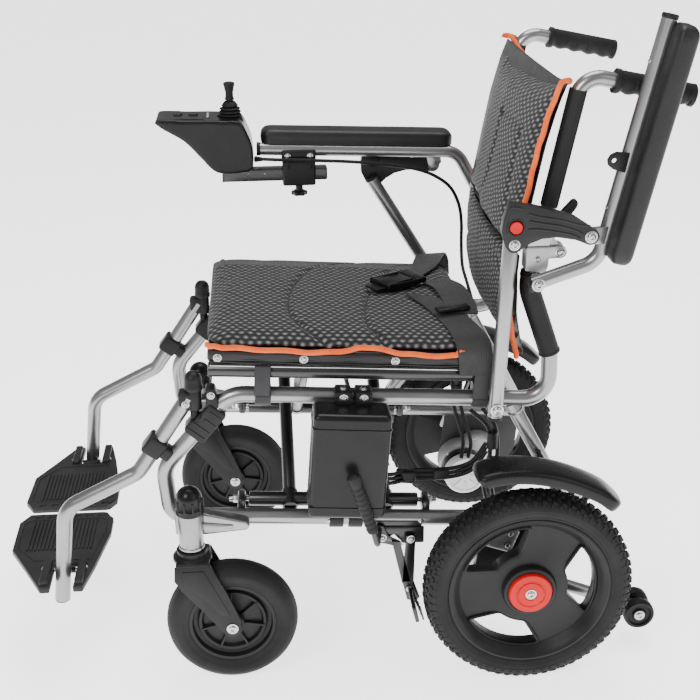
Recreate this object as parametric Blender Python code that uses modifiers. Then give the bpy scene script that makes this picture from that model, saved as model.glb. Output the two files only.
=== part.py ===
"""Folding power wheelchair, modelled as separate parts on real joints.

Metres, +Z up.  The user faces -X, so -Y is the user's left.  Every x below is
measured from the drive axle, and the root empty carries the model to its
origin, midway along the chair's length on the ground.  Part names start with
left_ or right_, and SIDES gives the sign of y for each.
"""
import math

import bmesh
import bpy
from mathutils import Matrix, Vector

SIDES = {"left": -1.0, "right": 1.0}

# Overall places
AXLE_X = 0.28625         # drive axle ahead of the origin
GAP = 0.0004             # air between touching parts
FRAME_Y = 0.195          # middle plane of each side frame
ARM_Y = 0.2275           # middle plane of each armrest linkage
HEAD_Y = 0.230           # caster head tube
WHEEL_Y = 0.268          # middle plane of a drive wheel

# Frame tubes: the seat and the lower tube fall 3.5 degrees to the back
SLOPE = math.tan(math.radians(3.5))
FRAME_R = 0.0127
LOWER_Z = 0.231
UPPER_Z = 0.434
RAIL_Z = 0.4745
PIVOT_Z = 0.2445
RAIL_R = 0.0115
PIVOT_R = 0.011
LEG_R = 0.010
RAIL_Y = 0.200
PIVOT_Y = 0.165

# Wheels
DRIVE_R = 0.159          # 12.5 inch drive wheel
DRIVE_HALF = 0.0265
CASTER_R = 0.100         # 8 inch caster
CASTER_HALF = 0.023
HEAD_X = -0.501
CASTER_X = -0.446
AXLE_R = 0.0085
MOTOR = (-0.030, 0.138)
ROLLER = (0.197, 0.055)
ROLLER_R = 0.0245

# Armrest linkage (x, z), drawn with the armrest down
ARM_PIVOT = Vector((0.0, 0.627))
POST_FOOT = Vector((-0.051, 0.437))
ARM_LUG = Vector((-0.0818, 0.6791))
POST_HEAD = Vector((-0.1838, 0.6532))
POST_HEAD_UP = Vector((-0.0394, 0.6906))
ARM_SWING = math.radians(100.0)
BRACKET_SWING = math.radians(9.8)
POST_SWING = math.radians(34.19)
ARM_R = 0.011
PIN_R = 0.0045
BRACKET_IN = 0.2393
BRACKET_OUT = 0.2525

# Back hinge, hanger and footplate
BACK_PIN = Vector((0.036, 0.664))
POST_R = 0.0115
SWING_PIN = Vector((-0.4865, 0.440))
HANDLE_BEND = Vector((0.0540, 0.9075))
HANDLE_FALL = -0.204     # drop of the handle per metre of reach
FLAP = (0.174, 0.165)    # |y| and z of the footplate's hinge pin
PLATE_TOP = 0.172

# Parking brake
BRAKE_LEVER_PIN = Vector((-0.2145, 0.219))
BRAKE_SHOE_PIN = Vector((-0.171, 0.217))


# ------------------------------------------------------------------ basics

def clear_scene():
    """Remove whatever the file already holds."""
    for item in list(bpy.data.objects):
        bpy.data.objects.remove(item, do_unlink=True)


clear_scene()
CHAIR = bpy.data.collections.new("power_wheelchair")
bpy.context.scene.collection.children.link(CHAIR)
ROOT = bpy.data.objects.new("chair_root", None)
ROOT.location = (AXLE_X, 0, 0)
CHAIR.objects.link(ROOT)


def material(name, colour, roughness, metallic=0.0):
    """A plain Principled finish."""
    made = bpy.data.materials.new(name)
    made.use_nodes = True
    shader = made.node_tree.nodes["Principled BSDF"]
    shader.inputs["Base Color"].default_value = (*colour, 1)
    shader.inputs["Roughness"].default_value = roughness
    shader.inputs["Metallic"].default_value = metallic
    return made


SILVER = material("silver_paint", (0.46, 0.46, 0.47), 0.35, 0.7)
CAST = material("cast_aluminium", (0.62, 0.62, 0.62), 0.4, 0.8)
STEEL = material("black_steel", (0.03, 0.03, 0.03), 0.45)
PLASTIC = material("black_plastic", (0.035, 0.035, 0.037), 0.5)
RUBBER = material("tyre_rubber", (0.03, 0.03, 0.03), 0.8)
VINYL = material("pad_vinyl", (0.045, 0.045, 0.045), 0.55)
KNIT = material("mesh_knit", (0.09, 0.09, 0.095), 0.9)
RED = material("red_plastic", (0.8, 0.06, 0.05), 0.35)
GREY = material("key_grey", (0.3, 0.3, 0.32), 0.5)


def lift(base, x):
    """Height at x of a line that falls to the back like the seat."""
    return base - SLOPE * x


def turn(point, centre, angle):
    """Turn an (x, z) point about centre; positive goes from +Z to +X."""
    offset = point - centre
    cosine, sine = math.cos(angle), math.sin(angle)
    return centre + Vector((offset.x * cosine + offset.y * sine,
                            -offset.x * sine + offset.y * cosine))


def at(point, y):
    """Set an (x, z) point at a y."""
    return Vector((point[0], y, point[1]))


def scratch(mesh, name="scratch"):
    """A loose object that holds a mesh."""
    item = bpy.data.objects.new(name, mesh)
    bpy.context.scene.collection.objects.link(item)
    return item


def baked(item):
    """Replace an object by its evaluated mesh, welded, in world space."""
    bpy.context.view_layer.update()
    graph = bpy.context.evaluated_depsgraph_get()
    mesh = bpy.data.meshes.new_from_object(item.evaluated_get(graph))
    mesh.transform(item.matrix_world)
    bpy.data.objects.remove(item, do_unlink=True)
    work = bmesh.new()
    work.from_mesh(mesh)
    bmesh.ops.remove_doubles(work, verts=work.verts, dist=0.000005)
    bmesh.ops.dissolve_degenerate(work, edges=work.edges, dist=0.000002)
    bmesh.ops.recalc_face_normals(work, faces=work.faces)
    work.to_mesh(mesh)
    work.free()
    return scratch(mesh)


def combined(parts, cuts=()):
    """Union the parts, then subtract the cuts."""
    base = parts[0]
    for operation, others in (("UNION", parts[1:]), ("DIFFERENCE", cuts)):
        for other in others:
            step = base.modifiers.new("join", "BOOLEAN")
            step.operation = operation
            step.object = other
    done = baked(base)
    for other in list(parts[1:]) + list(cuts):
        bpy.data.objects.remove(other, do_unlink=True)
    return done


def placed(name, item, finish, pivot=(0, 0, 0), smooth=40.0):
    """Give a finished solid its name, material and origin on its pivot."""
    pivot = Vector(pivot)
    mesh = item.data
    mesh.transform(Matrix.Translation(-pivot))
    mesh.materials.clear()
    mesh.materials.append(finish)
    mesh.name = name
    mesh.shade_smooth()
    mesh.set_sharp_from_angle(angle=math.radians(smooth))
    item.name = name
    for holder in list(item.users_collection):
        holder.objects.unlink(item)
    CHAIR.objects.link(item)
    item.parent = ROOT
    item.location = pivot
    return item


def moved(item, matrix):
    """Move a scratch solid."""
    item.data.transform(matrix)
    return item


def swung(item, pivot, angle, end=None):
    """Turn a scratch solid about an (x, z) pivot, and carry the pivot to end."""
    end = pivot if end is None else end
    there = Matrix.Translation((end[0], 0, end[1]))
    back = Matrix.Translation((-pivot[0], 0, -pivot[1]))
    return moved(item, there @ Matrix.Rotation(angle, 4, "Y") @ back)


# ------------------------------------------------------------------ shapes

def box(centre, size, tilt=0.0, bevel=0.0, segments=2):
    """A box, tilted about Y, with its edges rounded."""
    bpy.ops.mesh.primitive_cube_add(size=1)
    item = bpy.context.object
    item.data.transform(Matrix.Diagonal((*size, 1)))
    if bevel:
        rounding = item.modifiers.new("round", "BEVEL")
        rounding.width = bevel
        rounding.segments = segments
    item.location = centre
    item.rotation_euler = (0, tilt, 0)
    return baked(item)


def rod(start, end, radius, sides=16, tip=None):
    """A cylinder or cone from start to end."""
    start, end = Vector(start), Vector(end)
    axis = end - start
    work = bmesh.new()
    bmesh.ops.create_cone(work, cap_ends=True, segments=sides, radius1=radius,
                          radius2=radius if tip is None else tip, depth=axis.length)
    mesh = bpy.data.meshes.new("rod")
    work.to_mesh(mesh)
    work.free()
    mesh.transform(Matrix.Translation((start + end) / 2)
                   @ axis.to_track_quat("Z", "Y").to_matrix().to_4x4())
    return scratch(mesh)


def ball(centre, radius, scale=(1, 1, 1), u=16, v=10):
    """A sphere, stretched along the axes."""
    work = bmesh.new()
    bmesh.ops.create_uvsphere(work, u_segments=u, v_segments=v, radius=radius)
    mesh = bpy.data.meshes.new("ball")
    work.to_mesh(mesh)
    work.free()
    mesh.transform(Matrix.Translation(centre) @ Matrix.Diagonal((*scale, 1)))
    return scratch(mesh)


def bent(corners, radii, steps=3):
    """Points of a path whose inner corners are arcs of the given radii."""
    corners = [Vector(corner) for corner in corners]
    path = [corners[0]]
    for before, corner, after, radius in zip(corners, corners[1:], corners[2:], radii):
        inward, outward = (before - corner).normalized(), (after - corner).normalized()
        half = inward.angle(outward) / 2
        reach = radius / math.tan(half)
        centre = corner + (inward + outward).normalized() * radius / math.sin(half)
        first, last = corner + inward * reach - centre, corner + outward * reach - centre
        first, last = first.normalized(), last.normalized()
        path += [centre + first.slerp(last, k / steps) * radius for k in range(steps + 1)]
    return path + [corners[-1]]


def tube(points, radius, resolution=3):
    """A round tube along points; it has 2 * (resolution + 2) sides."""
    curve = bpy.data.curves.new("tube", "CURVE")
    curve.dimensions = "3D"
    curve.bevel_depth = radius
    curve.bevel_resolution = resolution
    curve.use_fill_caps = True
    spline = curve.splines.new("POLY")
    spline.points.add(len(points) - 1)
    for knot, point in zip(spline.points, points):
        knot.co = (*point, 1)
    item = bpy.data.objects.new("tube", curve)
    bpy.context.scene.collection.objects.link(item)
    return baked(item)


def tube_xz(corners, radii, y, radius, steps=3, resolution=3):
    """A tube bent in the plane of one side frame."""
    path = bent([at(corner, y) for corner in corners], radii, steps)
    return tube(path, radius, resolution)


def slab(outline, y_from, y_to, bevel=0.0):
    """An (x, z) outline cut from plate between two y planes."""
    curve = bpy.data.curves.new("slab", "CURVE")
    curve.dimensions = "2D"
    curve.fill_mode = "BOTH"
    curve.extrude = abs(y_to - y_from) / 2
    spline = curve.splines.new("POLY")
    spline.points.add(len(outline) - 1)
    for knot, point in zip(spline.points, outline):
        knot.co = (point[0], point[1], 0, 1)
    spline.use_cyclic_u = True
    item = bpy.data.objects.new("slab", curve)
    bpy.context.scene.collection.objects.link(item)
    item.rotation_euler = (math.radians(90), 0, 0)
    item.location = (0, (y_from + y_to) / 2, 0)
    done = baked(item)
    return rounded(done, bevel) if bevel else done


def flat(outline, z_from, z_to, bevel=0.0):
    """An (x, y) outline cut from plate between two heights."""
    done = slab(outline, z_from, z_to)
    moved(done, Matrix(((1, 0, 0, 0), (0, 0, 1, 0), (0, 1, 0, 0), (0, 0, 0, 1))))
    done.data.flip_normals()
    return rounded(done, bevel) if bevel else done


def rounded(item, width, segments=2, angle=35.0):
    """Round the sharp edges of a solid."""
    step = item.modifiers.new("round", "BEVEL")
    step.width = width
    step.segments = segments
    step.limit_method = "ANGLE"
    step.angle_limit = math.radians(angle)
    return baked(item)


def lathe(profile, centre, side, sides=32, closed=True):
    """Turn a (radius, y) profile about the Y axis through centre."""
    mesh = bpy.data.meshes.new("profile")
    count = len(profile)
    edges = [(k, k + 1) for k in range(count - 1)] + ([(count - 1, 0)] if closed else [])
    mesh.from_pydata([(radius, 0, height) for radius, height in profile], edges, [])
    item = scratch(mesh)
    screw = item.modifiers.new("turn", "SCREW")
    screw.steps = screw.render_steps = sides
    screw.use_merge_vertices = True
    screw.merge_threshold = 0.00001
    done = baked(item)
    upright = Matrix.Rotation(math.radians(-90), 4, "X")
    start = Matrix.Rotation(math.radians(90), 4, "Z")
    moved(done, Matrix.Translation(centre) @ Matrix.Diagonal((1, side, 1, 1)) @ upright @ start)
    return baked(done)


def arc(centre, radius, start, end, steps):
    """Points on an arc in degrees, counted from +X towards +Z."""
    angles = [math.radians(start + (end - start) * k / steps) for k in range(steps + 1)]
    return [(centre[0] + radius * math.cos(a), centre[1] + radius * math.sin(a))
            for a in angles]


# --------------------------------------------------------------- side frame

def frame_tube(side):
    """The one long tube: lower run, front bend, seat run and back post."""
    corners = [(0.088, lift(LOWER_Z, 0.088)), (-0.531, lift(LOWER_Z, -0.531)),
               (-0.537, 0.345), (-0.437, lift(UPPER_Z, -0.437)),
               (0.034, lift(UPPER_Z, 0.034)), (0.032, 0.504),
               (-0.003, 0.606), (0.002, 0.645)]
    return tube_xz(corners, (0.026, 0.045, 0.05, 0.036, 0.05, 0.05), side * FRAME_Y, FRAME_R)


def caster_head(side):
    """Head tube with its domed cap, weld block and gusset."""
    y = side * HEAD_Y
    block = box((-0.513, side * 0.212, 0.272), (0.022, 0.026, 0.05))
    gusset = rod((-0.495, y, 0.258), (-0.425, side * 0.198, 0.2575), 0.0135, 12, 0.009)
    return [rod((HEAD_X, y, 0.228), (HEAD_X, y, 0.316), 0.020, 14), block, gusset,
            ball((HEAD_X, y, 0.316), 0.0205, (1, 1, 0.9), 14, 6)]


def hinge_casting(side):
    """The lower half of the back hinge, with two ears for its pin."""
    inner, outer = sorted((side * 0.181, side * 0.209))
    block = slab([(-0.0125, 0.638), (0.0165, 0.634), (0.0200, 0.645), (0.0200, 0.6722),
                  (-0.0125, 0.6722)], inner, outer)
    parts = [block]
    for near, far in ((0.1812, 0.1868), (0.2032, 0.2088)):
        parts.append(slab([(0.0185, 0.6545)] + arc(BACK_PIN, 0.0085, -80, 85, 6)
                          + [(0.0185, 0.6715)], side * near, side * far))
    parts.append(rod(at(BACK_PIN, side * 0.1815), at(BACK_PIN, side * 0.2085), 0.0035, 12))
    return parts


def axle_plate(side):
    """Plate that carries the gearbox and the axle."""
    outline = [(-0.056, 0.236), (0.080, 0.228), (0.074, 0.150), (0.045, 0.105),
               (-0.060, 0.100), (-0.068, 0.140)]
    return slab(outline, side * 0.1925, side * 0.1985)


def boss_and_pin(point, side, inner, face, end):
    """A spacer welded to a tube, and the pin that stands out of it."""
    return [rod(at(point, side * inner), at(point, side * face), 0.008, 14),
            rod(at(point, side * (face - 0.004)), at(point, side * end), PIN_R, 12)]


def cross_lugs(side):
    """Two lugs under the lower tube with the pins of the cross brace."""
    parts = []
    for x, inward in ((-0.4255, 1), (-0.1445, -1)):
        z = lift(PIVOT_Z, x)
        outline = [(side * 0.190, z - 0.016), (side * 0.190, z + 0.002),
                   (side * 0.170, z + 0.0115), (side * 0.156, z + 0.008),
                   (side * 0.154, z - 0.008), (side * 0.168, z - 0.0115)]
        ring = slab(outline, -0.007, 0.007)
        moved(ring, Matrix.Translation((x, 0, 0)) @ Matrix.Rotation(math.radians(90), 4, "Z"))
        parts.append(ring)
        end = x + 0.022 * inward
        parts.append(rod((x, side * PIVOT_Y, z), (end, side * PIVOT_Y, lift(PIVOT_Z, end)),
                         PIN_R, 12))
    return parts


def saddles(side):
    """Blocks on the seat tube that the seat rail rests on when the chair is open."""
    parts = []
    for x in (-0.387, -0.070):
        floor, top = lift(UPPER_Z, x) + 0.008, lift(RAIL_Z, x) - RAIL_R - 0.0006
        parts.append(box((x, side * 0.199, (floor + top) / 2), (0.024, 0.030, top - floor),
                         math.atan(SLOPE)))
    return parts


def brake_bracket(side):
    """Plate under the lower tube that carries the brake's two pins."""
    outline = [(-0.225, 0.236), (-0.150, 0.232), (-0.150, 0.205), (-0.182, 0.205),
               (-0.196, 0.221), (-0.224, 0.206)]
    plate = slab(outline, side * 0.2065, side * 0.2110)
    link = box((-0.188, side * 0.2025, 0.2365), (0.07, 0.012, 0.014), math.atan(SLOPE))
    pins = [rod(at(pin, side * 0.208), at(pin, side * 0.2225), 0.003, 10)
            for pin in (BRAKE_LEVER_PIN, BRAKE_SHOE_PIN)]
    return [plate, link] + pins


def tip_arm(side):
    """Anti-tip arm from the axle plate to the rollers' axle."""
    y = side * FRAME_Y
    arm = rod((0.030, y, 0.124), (0.165, y, 0.070), 0.0105, 14)
    tongue = slab([(0.150, 0.086), (0.146, 0.062)] + arc(ROLLER, 0.0115, 225, 420, 8),
                  side * 0.1905, side * 0.1995)
    return [arm, tongue]


def side_frame(name, side):
    """Everything welded to one side frame."""
    y = side * FRAME_Y
    strut = rod((-0.022, y, 0.4280), (0.0815, y, 0.234), 0.0112, 14)
    parts = [frame_tube(side), strut, axle_plate(side)]
    parts += caster_head(side) + hinge_casting(side) + cross_lugs(side) + saddles(side)
    parts += boss_and_pin(POST_FOOT, side, FRAME_Y, 0.2161, 0.2386)
    parts += boss_and_pin(ARM_PIVOT, side, FRAME_Y, 0.2161, 0.2386)
    parts += brake_bracket(side) + tip_arm(side)
    head = (HEAD_X, side * HEAD_Y)
    cuts = [rod((*head, 0.2279 - 0.01), (*head, 0.306), 0.0090, 16),
            rod((0, side * 0.18, DRIVE_R), (0, side * 0.21, DRIVE_R), 0.0100, 16),
            rod(at(ROLLER, side * 0.18), at(ROLLER, side * 0.21), 0.0046, 12)]
    placed(name + "_side_frame", combined(parts, cuts), SILVER)


# -------------------------------------------------------------- cross brace

def brace_leg(name, side, leg_x, own_pins):
    """One half of the cross: pivot tube, two legs and the seat rail.

    side is where the pivot tube is; the seat rail is on the other side.
    """
    low, high = (side * PIVOT_Y, PIVOT_Z), (-side * RAIL_Y, RAIL_Z)

    def on(line, x):
        return Vector((x, line[0], lift(line[1], x)))

    middle = (0.0, PIVOT_Z + (RAIL_Z - PIVOT_Z) * PIVOT_Y / (PIVOT_Y + RAIL_Y))
    parts = [rod(on(low, -0.4145), on(low, -0.1555), PIVOT_R, 14),
             rod(on(high, -0.464), on(high, -0.060), RAIL_R, 14)]
    cuts = [rod(on(low, -0.430), on(low, -0.401), 0.0052, 12),
            rod(on(low, -0.170), on(low, -0.140), 0.0052, 12)]
    for x in leg_x:
        parts.append(rod(on(low, x), on(high, x), LEG_R, 12))
        if own_pins:
            parts.append(rod(on(middle, x), on(middle, x + 0.030), 0.0042, 12))
        else:
            cuts.append(rod(on(middle, x - 0.02), on(middle, x + 0.02), 0.0048, 12))
    centre = Vector((0, side * PIVOT_Y, PIVOT_Z)) if own_pins else Vector((0, *middle))
    placed(name, combined(parts, cuts), STEEL, centre)


# ------------------------------------------------------------------- wheels

def drive_tyre(name, side):
    """Round tyre with a flat tread, on the bead seats of the rim."""
    half, crown = DRIVE_HALF, DRIVE_R
    profile = [(0.1212, -0.019), (0.1212, 0.019), (0.132, half), (0.145, half),
               (crown, 0.0135), (crown, -0.0135), (0.145, -half), (0.132, -half)]
    ring = lathe(profile[::-1], (0, side * WHEEL_Y, DRIVE_R), side, 32)
    placed(name + "_drive_tyre", ring, RUBBER, (0, side * WHEEL_Y, DRIVE_R))


def window(side, angle):
    """Cutter for one of the rim's three windows."""
    inner = arc((0, DRIVE_R), 0.0607, angle - 24.3, angle + 24.3, 3)
    outer = arc((0, DRIVE_R), 0.1013, angle + 37.7, angle - 37.7, 5)
    return slab(inner + outer, side * 0.235, side * 0.305)


def drive_rim(name, side):
    """Three-window rim with its hub cap and the stub shaft to the gearbox."""
    profile = [(0.0, -0.0265), (0.026, -0.0265), (0.030, -0.013), (0.104, -0.010),
               (0.110, -0.020), (0.1208, -0.020), (0.1208, 0.020), (0.110, 0.020),
               (0.104, 0.009), (0.046, 0.012), (0.046, 0.024), (0.0, 0.0300)]
    hub = lathe(profile[::-1], (0, side * WHEEL_Y, DRIVE_R), side, 32, closed=False)
    shaft = rod((0, side * 0.166, DRIVE_R), (0, side * 0.25, DRIVE_R), AXLE_R, 14)
    cuts = [window(side, angle) for angle in (6, 126, 246)]
    placed(name + "_drive_rim", combined([combined([hub], cuts), shaft]), PLASTIC,
           (0, side * WHEEL_Y, DRIVE_R))


def caster_wheel(name, side):
    """Caster tyre and its hub, which turns on the fork's axle."""
    centre = (CASTER_X, side * HEAD_Y, CASTER_R)
    half = CASTER_HALF
    tyre = [(0.0662, -0.017), (0.0662, 0.017), (0.077, half), (0.088, half),
            (CASTER_R, 0.009), (CASTER_R, -0.009), (0.088, -half), (0.077, -half)]
    placed(name + "_caster_tyre", lathe(tyre[::-1], centre, side, 24), RUBBER, centre)
    hub = [(0.0056, -0.0225), (0.0056, 0.0225), (0.018, 0.0225), (0.028, 0.009),
           (0.0658, 0.017), (0.0658, -0.017), (0.028, -0.009), (0.018, -0.0225)]
    placed(name + "_caster_hub", lathe(hub[::-1], centre, side, 24), PLASTIC, centre)


def caster_fork(name, side):
    """Two-armed fork with the stem that turns in the head tube."""
    y = side * HEAD_Y
    arm = [(-0.525, 0.212), (-0.474, 0.212), (-0.431, 0.108), (-0.434, 0.092),
           (-0.446, 0.085), (-0.459, 0.090), (-0.526, 0.184)]
    parts = [rod((HEAD_X, y, 0.2065), (HEAD_X, y, 0.2270), 0.0300, 16, 0.0215),
             rod((HEAD_X, y, 0.220), (HEAD_X, y, 0.300), 0.0082, 16)]
    parts += [slab(arm, y + sign * 0.0256, y + sign * 0.0306) for sign in (-1, 1)]
    parts.append(box((HEAD_X + 0.001, y, 0.2110), (0.050, 0.0590, 0.0090)))
    axle = (CASTER_X, CASTER_R)
    parts.append(rod(at(axle, y - 0.033), at(axle, y + 0.033), 0.0050, 12))
    placed(name + "_caster_fork", combined(parts), PLASTIC, (HEAD_X, y, 0.2275))


def tip_rollers(name, side):
    """Two small wheels on one shaft, either side of the anti-tip arm."""
    parts = [rod(at(ROLLER, side * 0.1700), at(ROLLER, side * 0.2200), 0.0042, 12)]
    for y in (0.1795, 0.2105):
        parts.append(lathe([(0.0, 0.0085), (0.0225, 0.0085), (ROLLER_R, 0.0060),
                            (ROLLER_R, -0.0060), (0.0225, -0.0085), (0.0, -0.0085)],
                           at(ROLLER, side * y), 1, 16, closed=False))
    placed(name + "_tip_rollers", combined(parts), PLASTIC, at(ROLLER, side * FRAME_Y))


def drive_motor(name, side):
    """Motor and gearbox behind the axle plate."""
    axle = (0.0, DRIVE_R)
    parts = [rod(at(axle, side * 0.152), at(axle, side * 0.1918), 0.034, 16),
             rod(at(MOTOR, side * 0.148), at(MOTOR, side * 0.1918), 0.041, 16),
             rod(at(MOTOR, side * 0.1145), at(MOTOR, side * 0.150), 0.037, 16),
             rod(at(MOTOR, side * 0.1130), at(MOTOR, side * 0.1150), 0.033, 16)]
    bore = [rod(at(axle, side * 0.163), at(axle, side * 0.20), 0.0095, 16)]
    placed(name + "_drive_motor", combined(parts, bore), CAST, at(axle, side * 0.18))


def fender(name, side):
    """Curved guard over the wheel, open underneath, on a stay."""
    top = [(-0.087, 0.3510), (-0.078, 0.3595), (-0.050, 0.3630), (0.000, 0.3630),
           (0.034, 0.3580), (0.068, 0.3425), (0.098, 0.3225), (0.132, 0.2920)]
    low = [(0.126, 0.2875), (0.092, 0.3080), (0.062, 0.3255), (0.030, 0.3365),
           (0.000, 0.3385), (-0.050, 0.3370), (-0.082, 0.3360)]
    hollow_top = [(x * 0.97, z - 0.0035) for x, z in top[1:-1]]
    hollow_low = [(x * 0.97, z - 0.012) for x, z in low[1:-1]]
    shell = slab(top + low, side * 0.2400, side * 0.2985)
    stay = rod((0.0196, side * 0.2067, 0.3500), (0.0196, side * 0.2440, 0.3500), 0.006, 12)
    cut = slab(hollow_top + hollow_low, side * 0.2430, side * 0.2955)
    placed(name + "_fender", combined([combined([shell], [cut]), stay]), PLASTIC)


# ----------------------------------------------------- hangers and footplates

def hanger_bracket(name, side):
    """Clamp on the frame's front run, with the pin the hanger swings on."""
    y = side * FRAME_Y
    run = Vector((0.100, 0.1155)).normalized()
    middle = Vector((-0.4705, 0.4217))
    across = Vector((-run.y, run.x))

    def spot(along, off):
        return middle + run * along + across * off

    clamp = slab([spot(-0.030, 0.0175), spot(-0.012, 0.0175), spot(-0.008, 0.0142),
                  spot(0.026, 0.0142), spot(0.026, -0.0165), spot(-0.030, -0.0165)],
                 y - 0.0145, y + 0.0145)
    boss = rod((SWING_PIN.x, y, 0.4120), (SWING_PIN.x, y, 0.4390), 0.0066, 14)
    pin = rod(at(SWING_PIN, y) - Vector((0, 0, 0.006)), (SWING_PIN.x, y, 0.4745), 0.0050, 14)
    cap = rod((SWING_PIN.x, y, 0.4700), (SWING_PIN.x, y, 0.4870), 0.0130, 16)
    dome = ball((SWING_PIN.x, y, 0.4870), 0.0120, (1, 1, 0.95), 14, 6)
    bore = tube_xz([(-0.537, 0.345), (-0.437, lift(UPPER_Z, -0.437)),
                    (-0.30, lift(UPPER_Z, -0.30))], (0.05,), y, FRAME_R + GAP)
    swung_out = rod((SWING_PIN.x, y - side * 0.0005, 0.4700),
                    (SWING_PIN.x, y + side * 0.0885, 0.3385), FRAME_R + 0.0010, 18)
    clamp = combined([clamp], [swung_out])
    placed(name + "_hanger_bracket", combined([clamp, boss, pin, cap, dome], [bore]), PLASTIC)


def hanger(name, side):
    """Leg-rest tube with its knuckle, frame catch and footplate pin."""
    y = side * FRAME_Y
    pipe = tube_xz([(-0.4935, 0.4590), (-0.5750, 0.3385), (-0.6870, 0.2830), (-0.7055, 0.1270)],
                   (0.03, 0.04), y, FRAME_R - 0.0002)
    knuckle = rod((SWING_PIN.x, y, 0.4396), (SWING_PIN.x, y, 0.4694), 0.0112, 16)
    catch = box((-0.5475, y, 0.3830), (0.040, 0.031, 0.026), math.radians(38))
    flap_y = side * FLAP[0]
    pin = rod((-0.7275, flap_y, FLAP[1]), (-0.6715, flap_y, FLAP[1]), 0.0038, 12)
    barrel = rod((-0.7155, flap_y, FLAP[1]), (-0.6845, flap_y, FLAP[1]), 0.0064, 12)
    web = box((-0.7005, side * 0.181, FLAP[1]), (0.018, 0.014, 0.0090))
    run = tube_xz([(-0.531, 0.30), (-0.537, 0.345), (-0.437, lift(UPPER_Z, -0.437))],
                  (0.045,), y, FRAME_R + 0.0007)
    bores = [rod((SWING_PIN.x, y, 0.42), (SWING_PIN.x, y, 0.49), 0.0055, 14),
             rod((SWING_PIN.x, y, 0.40), (SWING_PIN.x, y, 0.4394), 0.0073, 14)]
    solid = combined([pipe, knuckle, catch, barrel, web, pin], bores + [run])
    placed(name + "_hanger_tube", solid, SILVER, (SWING_PIN.x, y, 0.44))


def footplate(name, side):
    """Tread that flips up about the pin through the hanger tube."""
    half = [(-0.779, 0.0095), (-0.657, 0.0095), (-0.640, 0.030), (-0.640, 0.075),
            (-0.656, 0.172), (-0.664, 0.232), (-0.683, 0.232), (-0.683, 0.1645),
            (-0.7198, 0.1645), (-0.7198, 0.232), (-0.740, 0.232), (-0.766, 0.172),
            (-0.792, 0.118), (-0.794, 0.034)]
    tread = flat([(x, side * y) for x, y in half], PLATE_TOP - 0.014, PLATE_TOP)
    pin_y = side * FLAP[0]
    hole = rod((-0.73, pin_y, FLAP[1]), (-0.67, pin_y, FLAP[1]), 0.0043, 12)
    placed(name + "_footplate", combined([tread], [hole]), PLASTIC,
           (-0.7005, pin_y, FLAP[1]))


# --------------------------------------------------------------- armrests

def armrest(name, side, lifted):
    """Armrest tube, pad, bracket, release button and post."""
    y = side * ARM_Y
    swing = ARM_SWING if lifted else 0.0
    pipe = tube_xz([turn(Vector((0.0, 0.6160)), ARM_PIVOT, math.radians(-29)),
                    (-0.0430, 0.7050), (-0.3800, 0.7183)], (0.036,), y, ARM_R)
    lug = slab([(-0.071, 0.7045), (-0.068, 0.686)] + arc(ARM_LUG, 0.0085, 10, -190, 6)
               + [(-0.096, 0.7045)], side * 0.2310, side * 0.2387)
    tab = slab([(-0.196, 0.7065), (-0.196, 0.6845), (-0.186, 0.6760), (-0.178, 0.6845),
                (-0.166, 0.7065)], side * 0.2330, side * 0.2387)
    pin = rod(at(ARM_LUG, side * 0.235), at(ARM_LUG, side * 0.2540), 0.0040, 12)
    bore = [rod(at(ARM_PIVOT, side * 0.20), at(ARM_PIVOT, side * 0.26), 0.0052, 12)]
    tubes = swung(combined([pipe, lug, tab, pin], bore), ARM_PIVOT, swing)
    placed(name + "_armrest_tube", tubes, SILVER, at(ARM_PIVOT, y))

    pad = combined([box((-0.2130, side * 0.2460, 0.7305), (0.328, 0.054, 0.0300),
                        math.radians(2.25), 0.009, 3)],
                   [tube_xz([(-0.0430, 0.7050), (-0.4200, 0.7198)], (), y, ARM_R + GAP)])
    placed(name + "_armrest_pad", swung(pad, ARM_PIVOT, swing), VINYL, at(ARM_PIVOT, y))
    bracket(name, side, lifted)

    top, foot = POST_HEAD, POST_FOOT
    reach = (top - foot).normalized()
    post = rod(at(foot - reach * 0.017, y), at(top + reach * 0.012, y), ARM_R, 14)
    hole = rod(at(foot, side * 0.20), at(foot, side * 0.26), 0.0052, 12)
    solid = swung(combined([post], [hole]), foot, POST_SWING if lifted else 0.0)
    placed(name + "_armrest_post", solid, SILVER, at(foot, y))


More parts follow.
